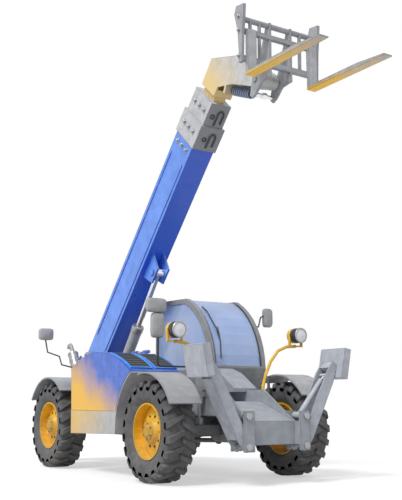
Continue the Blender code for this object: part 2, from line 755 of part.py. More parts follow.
def build_door(parent):
    edge = PILLAR + DOOR_GAP
    out = CAB_OUT - 0.002
    back = DOOR_HINGE_Y + edge
    panel = plate(cab_outline(edge, CAB_FLOOR, back), out - 0.04, out, "cab_door", "trim_grey")
    window = plate(cab_outline(edge + 0.05, 1.25, back), out - 0.08, out + 0.04)
    cut(panel, window)
    for low, high in DOOR_SLEEVES:
        axis = (DOOR_HINGE_X, DOOR_HINGE_Y)
        sleeve = rod((*axis, low), (*axis, high), 0.016, 16)
        strap = block((out - 0.002, DOOR_HINGE_Y - 0.09, low), (out + 0.012, DOOR_HINGE_Y, high))
        combine(panel, [sleeve, strap], "UNION")
        cut(panel, rod((*axis, low - 0.01), (*axis, high + 0.01), DOOR_PIN_R + PIN_GAP, 16))
    hang(panel, parent)
    glass = plate(cab_outline(edge + 0.05 + SEAT_GAP, 1.25, back), out - 0.025,
                  out - 0.025 + GLASS_T, "door_glass", "cab_glass")
    hang(glass, parent)


def build_cab_fittings():
    floor = CAB_FLOOR + CAB_WALL + SEAT_GAP
    middle = (CAB_IN + CAB_OUT) / 2
    seat = join(
        "seat", "seat_black",
        block((middle - 0.15, 0.08, floor), (middle + 0.15, 0.42, 1.17)),
        block((middle - 0.24, 0.00, 1.15), (middle + 0.24, 0.50, 1.28)),
        plate([(0.40, 1.20), (0.50, 1.20), (0.58, 1.86), (0.50, 1.88)], middle - 0.22,
              middle + 0.22),
    )
    hang(seat, root)
    wheel = rod((middle, -0.335, 1.46), (middle, -0.352, 1.49), 0.19, 24)
    hole = rod((middle, -0.30, 1.40), (middle, -0.387, 1.55), 0.165, 24)
    column = join(
        "steering_column", "seat_black",
        cut(wheel, hole),
        rod((middle, -0.55 + 0.06, floor + 0.01), (middle, -0.343, 1.475), 0.03, 12),
        block((middle - 0.08, -0.55, floor), (middle + 0.08, -0.40, floor + 0.05)),
        block((middle - 0.18, -0.358, 1.463), (middle + 0.18, -0.328, 1.483)),
    )
    hang(column, root)


def build_lamps():
    """A curved arm from the nose plate to a round lamp, one each side."""
    for side, name in ((1, "lamp_left"), (-1, "lamp_right")):
        y = FRONT_AXLE - 0.245
        arm = [(0.392, 1.02), (0.40, 1.18), (0.45, 1.34), (0.53, 1.50), (0.65, 1.64), (0.80, 1.70),
               (0.95, 1.71)]
        face = NOSE_HALF + SEAT_GAP
        pads = sorted((side * face, side * (face + 0.02)))
        parts = [
            block((pads[0], y - 0.05, 0.98), (pads[1], y + 0.05, 1.11)),
            tube([(side * x, y, z) for x, z in arm], 0.022),
            rod((side * 0.95, y - 0.10, 1.85), (side * 0.95, y + 0.06, 1.85), 0.10, 20),
            block((side * 0.95 - 0.11, y - 0.02, 1.70), (side * 0.95 + 0.11, y + 0.02, 1.72)),
            block((side * 0.95 - 0.11, y - 0.02, 1.70), (side * 0.95 - 0.09, y + 0.02, 1.86)),
            block((side * 0.95 + 0.09, y - 0.02, 1.70), (side * 0.95 + 0.11, y + 0.02, 1.86)),
        ]
        hang(smooth(join(name, "lamp_yellow", *parts)), root)


def build_tank():
    parts = [
        block((SPINE_LEFT + 0.02, -0.30, 0.50), (1.04, 0.44, CAB_FLOOR - SEAT_GAP)),
        block((1.0, -0.24, 0.50), (1.15, 0.38, 0.53)),
        block((SPINE_LEFT + SEAT_GAP, -0.20, 0.60), (SPINE_LEFT + 0.05, 0.36, 0.75)),
    ]
    hang(join("fuel_tank", "frame_grey", *parts), root)


# ---------------------------------------------------------------- running gear
YOKE_LOW = AXLE_Z - 0.15
YOKE_HIGH = AXLE_Z + 0.15
YOKE_T = 0.035
KINGPIN_X = HALF_TRACK - KINGPIN_INSET
SPINDLE_R = 0.06
STEER_ARM_IN = 0.035       # steering arm inboard of the kingpin, clear of the yoke at full lock
FENDER_POST_Y = 0.14       # middle of the fender post, behind the axle line


def build_axle(name, y):
    parts = [
        block((-0.64, y - 0.07, AXLE_Z - 0.065), (0.64, y + 0.07, AXLE_Z + 0.065)),
        rod((0, y - 0.19, AXLE_Z), (0, y + 0.19, AXLE_Z), 0.165, 20),
    ]
    for side in (-1, 1):
        web = sorted((side * 0.61, side * 0.66))
        arm = sorted((side * 0.62, side * (KINGPIN_X + 0.06)))
        parts.append(block((web[0], y - 0.09, YOKE_LOW - YOKE_T),
                           (web[1], y + 0.09, YOKE_HIGH + YOKE_T)))
        for z in (YOKE_LOW - YOKE_T, YOKE_HIGH):
            parts.append(block((arm[0], y - 0.08, z), (arm[1], y + 0.08, z + YOKE_T)))
    hang(smooth(join(name, "frame_grey", *parts)), root)


def build_driveline():
    top = FRAME_LOW - SEAT_GAP
    face = HALF_BASE - 0.19 - SEAT_GAP
    parts = [block((-0.20, -0.25, 0.36), (0.12, 0.35, top))]
    for way in (-1, 1):
        parts.append(rod((0, way * 0.2, 0.44), (0, way * (face - 0.02), 0.48), 0.03, 12))
        parts.append(rod((0, way * (face - 0.03), 0.48), (0, way * face, 0.48), 0.05, 12))
    hang(smooth(join("driveline", "engine_iron", *parts)), root)


def build_levelling():
    """The upright cylinder that levels the frame over the front axle, right side."""
    x = -0.43
    y = FRONT_AXLE
    beam = AXLE_Z + 0.065 + SEAT_GAP
    parts = [
        rod((x, y, 0.98), (x, y, 1.30), 0.05, 16),
        rod((x, y, beam + 0.05), (x, y, 1.0), 0.022, 12),
        block((x - 0.03, y - 0.04, beam), (x + 0.03, y + 0.04, beam + 0.09)),
        block((x - 0.04, y - 0.05, 1.04), (-NOSE_HALF - SEAT_GAP, y + 0.05, 1.10)),
    ]
    hang(smooth(join("levelling_cylinder", "barrel_grey", *parts)), root)


def tyre_profile():
    half = TYRE_W / 2
    bead = RIM_R + SEAT_GAP
    return [
        (bead, -half + 0.04), (TYRE_R - 0.16, -half), (TYRE_R - 0.04, -half + 0.01),
        (TYRE_R, -half + 0.06), (TYRE_R, half - 0.06), (TYRE_R - 0.04, half - 0.01),
        (TYRE_R - 0.16, half), (bead, half - 0.04),
    ]


def rim_profile():
    half = TYRE_W / 2 - 0.04
    bore = SPINDLE_R + PIN_GAP
    return [
        (RIM_R, -half), (RIM_R, half), (RIM_R - 0.02, half), (RIM_R - 0.02, 0.035), (0.16, 0.085),
        (HUB_R, 0.135), (bore, 0.135), (bore, -0.02), (HUB_R, -0.02), (0.16, 0.055),
        (RIM_R - 0.02, 0.0), (RIM_R - 0.02, -half),
    ]


# fender: front and rear reach from straight up, degrees
CORNERS = (
    ("front_right", -1, -1, 62, 14),
    ("front_left", 1, -1, 52, 30),
    ("rear_right", -1, 1, 44, 58),
    ("rear_left", 1, 1, 44, 58),
)


def build_corner(label, side, end, fender_front, fender_rear):
    y = end * HALF_BASE
    king = side * KINGPIN_X
    wheel_x = side * HALF_TRACK
    steer = joint("steer_" + label, (king, y, AXLE_Z))
    roll = joint("roll_" + label, (wheel_x, y, AXLE_Z), steer)
    gap = PIN_GAP
    post = sorted((side * (KINGPIN_X - 0.01), side * (KINGPIN_X + 0.01)))
    arm = sorted((side * (KINGPIN_X - STEER_ARM_IN), side * (KINGPIN_X + 0.02)))
    post_top = math.sqrt((FENDER_R + FENDER_T / 2) ** 2 - FENDER_POST_Y ** 2)
    post_y = y + FENDER_POST_Y
    knuckle = join(
        "knuckle_" + label, "frame_grey",
        rod((king, y, YOKE_LOW + gap), (king, y, YOKE_HIGH - gap), 0.07, 20),
        rod((king, y, AXLE_Z), (wheel_x + side * 0.13, y, AXLE_Z), SPINDLE_R, 28),
        rod((king, y, AXLE_Z), (wheel_x - side * (0.02 + RUN_GAP), y, AXLE_Z), 0.105, 20),
        block((arm[0], y + 0.02, AXLE_Z - 0.03), (arm[1], post_y + 0.03, AXLE_Z + 0.03)),
        block((post[0], post_y - 0.02, AXLE_Z - 0.03), (post[1], post_y + 0.02, AXLE_Z + post_top)),
    )
    hang(smooth(knuckle), steer)
    middle = (y, AXLE_Z)
    near = post[1] + SEAT_GAP if side > 0 else post[0] - SEAT_GAP
    wide = sorted((near, side * (HALF_TRACK + TYRE_W / 2 + 0.005)))
    outline = [
        *arc(middle, FENDER_R, 90 + fender_front, 90 - fender_rear, 10),
        *arc(middle, FENDER_R + FENDER_T, 90 - fender_rear, 90 + fender_front, 10),
    ]
    hang(smooth(plate(outline, wide[0], wide[1], "fender_" + label, "arm_grey")), steer)
    place = (wheel_x, y, AXLE_Z)
    hang(turned("tyre_" + label, tyre_profile(), "tyre_rubber", place, side), roll)
    hang(turned("rim_" + label, rim_profile(), "rim_yellow", place, side), roll)


# ---------------------------------------------------------------- boom
def section_half(k):
    """Half width and half depth of nested section k, 0 the outermost."""
    step = k * (BOOM_WALL + BOOM_STEP)
    return BOOM_W / 2 - step, BOOM_D / 2 - step


def section_block(k, s0, s1, grow=0.0):
    half_w, half_d = section_half(k)
    return boom_box(
        s0, s1, half_w + grow, BOOM_DROP - half_d - grow, BOOM_DROP + half_d + grow
    )


MOUTHS = [BOOM_LENGTH, BOOM_LENGTH + HEAD_LENGTHS[0], BOOM_LENGTH + sum(HEAD_LENGTHS)]
BACKS = [-BOOM_BACK] + [mouth - OVERLAP - STROKE for mouth in MOUTHS]


def hollow(made, k):
    """Bores section k for the next one, with slider pads left standing in its mouth."""
    pads = 0.15
    back = BACKS[k] - 0.01 if k else BACKS[0] + BOOM_WALL
    room = section_block(k, back, MOUTHS[k] - pads, -BOOM_WALL)
    mouth = section_block(k + 1, MOUTHS[k] - pads - 0.01, MOUTHS[k] + 0.01, PAD_GAP)
    return cut(made, room, mouth)


def boom_rod(s, n, half, radius, sides=20):
    return rod(on_boom(s, n, BOOM_X - half), on_boom(s, n, BOOM_X + half), radius, sides)


def build_outer(parent):
    tube_box = hollow(section_block(0, -BOOM_BACK, BOOM_LENGTH), 0)
    half_w, half_d = section_half(0)
    under = BOOM_DROP + half_d
    ears = []
    for side in (-1, 1):
        xs = sorted((BOOM_X + side * 0.076, BOOM_X + side * 0.104))
        outline = boom_outline([
            (LIFT_EYE_S - 0.22, under - 0.008), (LIFT_EYE_S - 0.13, LIFT_EYE_N + 0.10),
            (LIFT_EYE_S + 0.13, LIFT_EYE_N + 0.10), (LIFT_EYE_S + 0.22, under - 0.008),
        ])
        ears.append(plate(outline, xs[0], xs[1]))
        outside = BOOM_X + side * 0.120
        ears.append(
            rod(on_boom(LIFT_EYE_S, LIFT_EYE_N, BOOM_X + side * 0.09),
                on_boom(LIFT_EYE_S, LIFT_EYE_N, outside), 0.055, 16)
        )
    solid = combine(tube_box, [boom_rod(0, 0, half_w - 0.002, 0.10, 20), *ears], "UNION")
    bore = boom_rod(0, 0, half_w + 0.05, PIVOT_R + PIN_GAP, 24)
    made = cut(solid, bore)
    made.name = "boom_outer"
    made.data.materials.clear()
    made.data.materials.append(materials["boom_blue"])
    hang(made, parent)


def build_inner(k, name, parent):
    """Section k slides in k-1; its head collar stands in front of that section's mouth."""
    bar = section_block(k, BACKS[k], MOUTHS[k])
    half_w, half_d = section_half(k - 1)
    head = boom_box(MOUTHS[k - 1] + SEAT_GAP, MOUTHS[k], half_w + 0.012,
                    BOOM_DROP - half_d - HEAD_PROUD, BOOM_DROP + half_d + HEAD_PROUD)
    made = hollow(combine(bar, [head], "UNION"), k)
    made.name = name
    made.data.materials.append(materials["arm_grey"])
    hang(made, parent)


TILT_DIR = Vector((0, -math.cos(TILT_LINE), math.sin(TILT_LINE)))    # towards the forks
TILT_DOWN = Vector((0, -TILT_DIR.z, TILT_DIR.y))                    # from the pin to the arm's eye
TILT_PIN = on_boom(TILT_S, TILT_N, BOOM_X)
TILT_EYE = TILT_PIN + TILT_DOWN * TILT_ARM
TILT_FRONT = 0.25          # eye to the gland, closed
TILT_BACK = 0.70           # eye to the barrel's base
HEAD_HALF = 0.14
HEAD_T = 0.02
TILT_PIN_R = 0.035


def build_fourth(parent):
    """The last section with its cranked head: two side plates and a top skin, open below."""
    bar = section_block(3, BACKS[3], MOUTHS[2] + NECK + 0.04)
    room = section_block(3, BACKS[3] - 0.01, MOUTHS[2] - 0.2, -BOOM_WALL)
    neck = cut(bar, room)
    skin = [
        (HEAD_S - 0.02, -0.14), (HEAD_S + 0.36, -0.16), (HEAD_S + 0.66, 0.42),
        (HEAD_S + 0.70, 1.00), (HEAD_S + 0.66, 1.12), (HEAD_S + 0.53, 1.12),
        (HEAD_S + 0.30, 0.55), (HEAD_S + 0.12, 0.26), (HEAD_S - 0.02, 0.26),
    ]
    room_line = [
        (HEAD_S + 0.08, 0.30), (HEAD_S + 0.10, -0.10), (HEAD_S + 0.345, -0.115),
        (HEAD_S + 0.63, 0.43), (HEAD_S + 0.60, 0.93), (HEAD_S + 0.40, 0.95),
        (HEAD_S + 0.25, 0.70),
    ]
    half = HEAD_HALF - HEAD_T
    shell = plate(boom_outline(skin), BOOM_X - HEAD_HALF, BOOM_X + HEAD_HALF)
    inside = plate(boom_outline(room_line), BOOM_X - half, BOOM_X + half)
    across = Vector((HEAD_HALF, 0, 0))
    boss = rod(TILT_PIN - across, TILT_PIN + across, 0.08, 20)
    back = TILT_EYE - TILT_DIR * (TILT_BACK + SEAT_GAP)
    lug_line = [
        back - TILT_DOWN * 0.13, back + TILT_DOWN * 0.06,
        back + TILT_DOWN * 0.06 - TILT_DIR * 0.05, back - TILT_DOWN * 0.13 - TILT_DIR * 0.05,
    ]
    lug = plate([(p.y, p.z) for p in lug_line], BOOM_X - HEAD_HALF, BOOM_X + HEAD_HALF)
    made = combine(cut(shell, inside), [neck, boss, lug], "UNION")
    bore = rod(TILT_PIN - 2 * across, TILT_PIN + 2 * across, TILT_PIN_R + PIN_GAP, 24)
    made = cut(made, bore)
    made.name = "boom_fourth"
    made.data.materials.clear()
    made.data.materials.append(materials["arm_grey"])
    hang(made, parent)
    barrel = rod(TILT_EYE - TILT_DIR * TILT_BACK, TILT_EYE - TILT_DIR * TILT_FRONT,
                 TILT_BARREL_R, 16, "tilt_barrel", "barrel_grey")
    bored = rod(TILT_EYE - TILT_DIR * (TILT_BACK - 0.03), TILT_EYE, TILT_ROD_R + PIN_GAP, 16)
    hang(smooth(cut(barrel, bored)), parent)


def build_tilt_rod(parent):
    across = Vector((HEAD_HALF + 0.004, 0, 0))
    boss = Vector((0.035, 0, 0))
    made = join(
        "tilt_rod", "rod_chrome",
        rod(TILT_EYE - TILT_DIR * 0.49, TILT_EYE, TILT_ROD_R, 16),
        rod(TILT_EYE - across, TILT_EYE + across, 0.025, 16),
        rod(TILT_EYE - boss, TILT_EYE + boss, 0.042, 16),
    )
    hang(smooth(made), parent)


LIFT_BASE = Vector((BOOM_X, LIFT_BASE_Y, LIFT_BASE_Z))
LIFT_EYE = on_boom(LIFT_EYE_S, LIFT_EYE_N, BOOM_X)
LIFT_DIR = (LIFT_EYE - LIFT_BASE).normalized()


def build_lift(barrel_parent, rod_parent):
    across = Vector((0.07, 0, 0))
    barrel = combine(
        rod(LIFT_BASE, LIFT_BASE + LIFT_DIR * LIFT_BARREL_LENGTH, LIFT_BARREL_R, 20),
        [rod(LIFT_BASE - across, LIFT_BASE + across, 0.095, 20)],
        "UNION",
    )
    bore = rod(LIFT_BASE + LIFT_DIR * 0.12, LIFT_BASE + LIFT_DIR * 2.0, LIFT_ROD_R + PIN_GAP, 20)
    eye = rod(LIFT_BASE - across * 2, LIFT_BASE + across * 2, PIVOT_R - 0.01 + PIN_GAP, 24)
    made = cut(barrel, bore, eye)
    made.name = "lift_barrel"
    made.data.materials.append(materials["barrel_grey"])
    hang(smooth(made), barrel_parent)
    reach = (LIFT_EYE - LIFT_BASE).length
    inner = reach - 1.72
    stem = join(
        "lift_rod", "rod_chrome",
        rod(LIFT_BASE + LIFT_DIR * inner, LIFT_EYE, LIFT_ROD_R, 20),
        rod(LIFT_EYE - across, LIFT_EYE + across, 0.07, 20),
    )
    hang(smooth(stem), rod_parent)


# ---------------------------------------------------------------- carriage and forks
FORK_FACE = TILT_PIN.y - FORK_BACK       # back of the fork shanks
FORK_FOOT = TILT_PIN.z - 0.12            # underside of the blades


def build_carriage(parent):
    half = CARRIAGE_W / 2 + 0.02
    y = FORK_FACE + SEAT_GAP
    z = TILT_PIN.z
    inner = HEAD_HALF + RUN_GAP
    parts = [
        rod((BOOM_X - half, y + 0.04, z + 0.61), (BOOM_X + half, y + 0.04, z + 0.61), 0.035, 16),
        block((BOOM_X - half, y, z + 0.42), (BOOM_X + half, y + 0.05, z + 0.48)),
        block((BOOM_X - half, y, z + 0.06), (BOOM_X + half, y + 0.05, z + 0.13)),
        rod((BOOM_X - inner - 0.05, TILT_PIN.y, z), (BOOM_X + inner + 0.05, TILT_PIN.y, z),
            TILT_PIN_R, 24),
    ]
    ends = [
        (y - 0.05, z + 0.77), (y + 0.11, z + 0.79), (y + 0.15, z + 0.70), (y + 0.08, z + 0.45),
        (y + 0.06, z + 0.20), (y + 0.06, z + 0.04), (y, z + 0.04), (y - 0.015, z + 0.40),
        (y - 0.04, z + 0.62),
    ]
    cheek = [
        (y, z - 0.06), (y, z + 0.64), (y + 0.075, z + 0.64), (TILT_PIN.y - 0.06, z + 0.16),
        *arc((TILT_PIN.y, z), 0.075, 100, 0, 5),
        (TILT_EYE.y + 0.055, TILT_EYE.z - 0.01), (TILT_EYE.y + 0.01, TILT_EYE.z - 0.06),
        (TILT_EYE.y - 0.06, TILT_EYE.z - 0.03), (TILT_PIN.y - 0.12, z - 0.08),
    ]
    for side in (-1, 1):
        xs = sorted((BOOM_X + side * half, BOOM_X + side * (half - 0.035)))
        parts.append(plate(ends, xs[0], xs[1]))
        xs = sorted((BOOM_X + side * inner, BOOM_X + side * (inner + 0.03)))
        parts.append(plate(cheek, xs[0], xs[1]))
        for x in (0.30, 0.44):
            cap = sorted((BOOM_X + side * x, BOOM_X + side * (x + 0.03)))
            parts.append(
                block((cap[0], y + 0.005, z + 0.10), (cap[1], y + 0.04, z + 0.60))
            )
    hang(smooth(join("fork_carriage", "arm_grey", *parts)), parent)


def build_fork(name, side, parent):
    y = FORK_FACE
    z = FORK_FOOT
    t = FORK_T
    outline = [
        (y, z), (y, z + FORK_HEIGHT), (y - t, z + FORK_HEIGHT), (y - t, z + t), (y - 0.9, z + t),
        (y - t - FORK_LENGTH, z + 0.015), (y - t - FORK_LENGTH, z),
    ]
    x = BOOM_X + side * FORK_SPACING / 2
    hang(plate(outline, x - FORK_W / 2, x + FORK_W / 2, name, "fork_steel"), parent)


# ---------------------------------------------------------------- stabiliser legs
def build_leg(side, label):
    pin = Vector((side * LEG_PIN_X, 0, LEG_PIN_Z))
    along = Vector((side * math.cos(LEG_ANGLE), 0, math.sin(LEG_ANGLE)))
    over = Vector((-side * math.sin(LEG_ANGLE), 0, math.cos(LEG_ANGLE)))   # upper, inboard side

    def at(r, t):
        spot = pin + along * r + over * t
        return (spot.x, spot.z)

    leg = joint("leg_" + label, (pin.x, (LEG_Y0 + LEG_Y1) / 2, pin.z))
    side_line = [
        at(-0.06, -0.03), at(-0.03, -0.06), at(0.12, -0.085), at(0.90, -0.085),
        at(LEG_LENGTH, -0.05), at(LEG_LENGTH + 0.02, 0.03), at(0.95, 0.06), at(0.25, 0.06),
        at(-0.03, 0.055), at(-0.06, 0.03),
    ]
    web_line = [at(0.13, -0.085), at(0.92, -0.085), at(0.92, -0.065), at(0.13, -0.065)]
    end_line = [
        at(1.02, -0.065), at(LEG_LENGTH + 0.01, -0.045), at(LEG_LENGTH + 0.02, 0.02),
        at(1.03, 0.045),
    ]
    y0 = LEG_Y0
    y1 = LEG_Y1
    middle = (y0 + y1) / 2
    # the pad lies flat on the ground once the leg has swung down
    turn = Matrix.Rotation(-side * LEG_DOWN, 3, "Y")
    reach = LEG_LENGTH * math.cos(LEG_ANGLE - LEG_DOWN)
    pad_x = side * (LEG_PIN_X + reach + 0.02)
    swung = []
    for across, z in ((-1, PAD_LIFT), (1, PAD_LIFT), (1, PAD_LIFT + PAD_T), (-1, PAD_LIFT + PAD_T)):
        spot = pin + turn @ (Vector((pad_x + across * PAD_SIDE / 2, 0, z)) - pin)
        swung.append((spot.x, spot.z))
    parts = [
        plate(side_line, y0, y0 + LEG_SIDE_T, plane=FRONT_PLANE),
        plate(side_line, y1 - LEG_SIDE_T, y1, plane=FRONT_PLANE),
        plate(web_line, y0 + 0.005, y1 - 0.005, plane=FRONT_PLANE),
        plate(end_line, y0 + 0.005, y1 - 0.005, plane=FRONT_PLANE),
        plate(swung, middle - PAD_DEPTH / 2, middle + PAD_DEPTH / 2, plane=FRONT_PLANE),
    ]
    solid = combine(parts[0], parts[1:], "UNION")
    bore = rod((pin.x, y0 - 0.1, pin.z), (pin.x, y1 + 0.1, pin.z), LEG_PIN_R + PIN_GAP, 20)
    made = cut(solid, bore)
    made.name = "stabiliser_" + label
    made.data.materials.append(materials["arm_grey"])
    hang(made, leg)

    base = Vector((pin.x, middle, LEG_CYL_Z))
    foot = Vector((*at(LEG_CYL_AT, 0.0), 0)).xzy
    foot.y = middle
    way = (foot - base).normalized()
    reach = (foot - base).length
    swing = joint("leg_swing_" + label, base)
    slide = joint("leg_slide_" + label, base, swing)
    across = Vector((0, 0.075, 0))
    barrel = combine(rod(base, base + way * (reach - 0.08), LEG_BARREL_R, 16),
                     [rod(base - across, base + across, 0.046, 16)], "UNION")
    bore = rod(base + way * 0.075, base + way * 2, LEG_ROD_R + PIN_GAP, 16)
    eye = rod(base - across * 2, base + across * 2, LEG_PIN_R + PIN_GAP, 20)
    made = cut(barrel, bore, eye)
    made.name = "leg_barrel_" + label
    made.data.materials.append(materials["barrel_grey"])
    hang(smooth(made), swing)
    stem = join("leg_rod_" + label, "rod_chrome", rod(base + way * 0.10, foot, LEG_ROD_R, 16),
                rod(foot - across, foot + across, 0.032, 16))
    hang(smooth(stem), slide)


# ---------------------------------------------------------------- assembly
build_frame()
build_counterweight()
build_tray()
build_engine()
build_exhaust()
build_mirrors()
build_cab()
build_cab_fittings()
build_lamps()
build_tank()
build_axle("front_axle", FRONT_AXLE)
build_axle("rear_axle", REAR_AXLE)
build_driveline()
build_levelling()
for corner in CORNERS:
    build_corner(*corner)
build_hood(joint("hood", (HOOD_HINGE_X, 0, HOOD_HINGE_Z)))
build_door(joint("door", (DOOR_HINGE_X, DOOR_HINGE_Y, 1.6)))
lift = joint("boom_lift", (BOOM_X, PIVOT_Y, PIVOT_Z))
build_outer(lift)
second = joint("extend_second", on_boom(MOUTHS[0], 0, BOOM_X), lift)
build_inner(1, "boom_second", second)
third = joint("extend_third", on_boom(MOUTHS[1], 0, BOOM_X), second)
build_inner(2, "boom_third", third)
fourth = joint("extend_fourth", on_boom(MOUTHS[2], 0, BOOM_X), third)
build_fourth(fourth)
barrel_joint = joint("lift_barrel_swing", LIFT_BASE)
build_lift(barrel_joint, joint("lift_rod_slide", LIFT_EYE, barrel_joint))
build_tilt_rod(joint("tilt_rod_slide", TILT_EYE, fourth))
tilt = joint("fork_tilt", TILT_PIN, fourth)
build_carriage(tilt)
build_fork("fork_left", 1, tilt)
build_fork("fork_right", -1, tilt)
build_leg(1, "left")
build_leg(-1, "right")
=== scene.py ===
import json
import math

import bmesh
import bpy
from mathutils import Matrix, Vector
from mathutils.bvhtree import BVHTree


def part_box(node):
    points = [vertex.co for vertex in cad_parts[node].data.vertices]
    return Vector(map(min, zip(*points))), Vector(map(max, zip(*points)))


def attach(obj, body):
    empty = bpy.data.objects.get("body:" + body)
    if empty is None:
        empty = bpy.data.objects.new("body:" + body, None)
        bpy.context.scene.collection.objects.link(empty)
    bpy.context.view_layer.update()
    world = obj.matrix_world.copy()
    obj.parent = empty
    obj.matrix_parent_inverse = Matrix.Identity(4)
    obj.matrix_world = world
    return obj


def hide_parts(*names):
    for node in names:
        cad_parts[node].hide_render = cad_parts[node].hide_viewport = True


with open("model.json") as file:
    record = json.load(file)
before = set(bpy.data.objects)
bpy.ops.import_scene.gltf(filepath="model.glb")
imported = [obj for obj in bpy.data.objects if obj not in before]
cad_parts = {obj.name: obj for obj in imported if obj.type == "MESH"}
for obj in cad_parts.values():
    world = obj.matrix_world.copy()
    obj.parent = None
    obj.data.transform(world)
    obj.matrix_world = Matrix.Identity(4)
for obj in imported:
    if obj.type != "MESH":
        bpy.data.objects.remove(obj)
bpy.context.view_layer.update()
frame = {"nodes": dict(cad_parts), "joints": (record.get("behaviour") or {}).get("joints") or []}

nodes = frame["nodes"]
joints = {j["name"]: j for j in frame["joints"]}

# ---------------------------------------------------------------- floor, light and camera
# A plain white floor under a soft overcast light, with one broad lamp high on the machine's right.
# The camera stands low in front of the right front wheel and looks up at the forks.
ROOT = Vector(joints["boom_lift"]["pos_m"]) - Vector((-0.10, 2.00, 1.60))  # the machine's own origin
CAMERA_AT = Vector((-6.330, -10.783, 1.007)) + ROOT
CAMERA_TURN = math.radians(32.62)
CAMERA_PITCH = math.radians(9.96)

lens = bpy.data.cameras.new("camera")
lens.sensor_width = 36.0
lens.lens = 61.2
camera = bpy.data.objects.new("camera", lens)
bpy.context.scene.collection.objects.link(camera)
camera.location = CAMERA_AT
camera.rotation_euler = (math.radians(90) + CAMERA_PITCH, 0, -CAMERA_TURN)
bpy.context.scene.camera = camera
bpy.context.scene.view_settings.view_transform = "Standard"


def backdrop_rays(tree):
    """1 on the rays that show the white backdrop: from the camera, off gloss and through glass."""
    path = tree.nodes.new("ShaderNodeLightPath")
    seen = path.outputs["Is Camera Ray"]
    for ray in ("Is Glossy Ray", "Is Transmission Ray"):
        either = tree.nodes.new("ShaderNodeMath")
        either.operation = "MAXIMUM"
        tree.links.new(seen, either.inputs[0])
        tree.links.new(path.outputs[ray], either.inputs[1])
        seen = either.outputs[0]
    return seen


world = bpy.data.worlds.new("overcast")
bpy.context.scene.world = world
world.use_nodes = True
sky = world.node_tree
background = sky.nodes["Background"]
background.inputs["Color"].default_value = (0.95, 0.97, 1.0, 1)
background.inputs["Strength"].default_value = 0.52
plain = sky.nodes.new("ShaderNodeBackground")
plain.inputs["Color"].default_value = (1, 1, 1, 1)
mix = sky.nodes.new("ShaderNodeMixShader")
sky.links.new(backdrop_rays(sky), mix.inputs[0])
sky.links.new(background.outputs[0], mix.inputs[1])
sky.links.new(plain.outputs[0], mix.inputs[2])
sky.links.new(mix.outputs[0], sky.nodes["World Output"].inputs["Surface"])

lamp = bpy.data.lights.new("broad lamp", "SUN")
lamp.energy = 2.1
lamp.angle = math.radians(18)
sun = bpy.data.objects.new("broad lamp", lamp)
bpy.context.scene.collection.objects.link(sun)
sun.rotation_euler = Vector((-0.95, -0.35, 1.25)).to_track_quat("Z", "Y").to_euler()

FLOOR_HALF = 60.0
FLOOR_GLOW = 0.50
floor_mesh = bpy.data.meshes.new("floor")
floor_mesh.from_pydata(
    [(-FLOOR_HALF, -FLOOR_HALF, 0), (FLOOR_HALF, -FLOOR_HALF, 0), (FLOOR_HALF, FLOOR_HALF, 0),
     (-FLOOR_HALF, FLOOR_HALF, 0)], [], [(0, 1, 2, 3)])
floor = bpy.data.objects.new("floor", floor_mesh)
bpy.context.scene.collection.objects.link(floor)
pale = bpy.data.materials.new("pale floor")
pale.use_nodes = True
pale_shader = pale.node_tree.nodes["Principled BSDF"]
pale_shader.inputs["Base Color"].default_value = (0.55, 0.55, 0.56, 1)
pale_shader.inputs["Roughness"].default_value = 0.9
pale_shader.inputs["Emission Color"].default_value = (1, 1, 1, 1)
pale_lift = pale.node_tree.nodes.new("ShaderNodeMath")
pale_lift.operation = "MULTIPLY"
pale_lift.inputs[1].default_value = FLOOR_GLOW
pale.node_tree.links.new(backdrop_rays(pale.node_tree), pale_lift.inputs[0])
pale.node_tree.links.new(pale_lift.outputs[0], pale_shader.inputs["Emission Strength"])
floor_mesh.materials.append(pale)
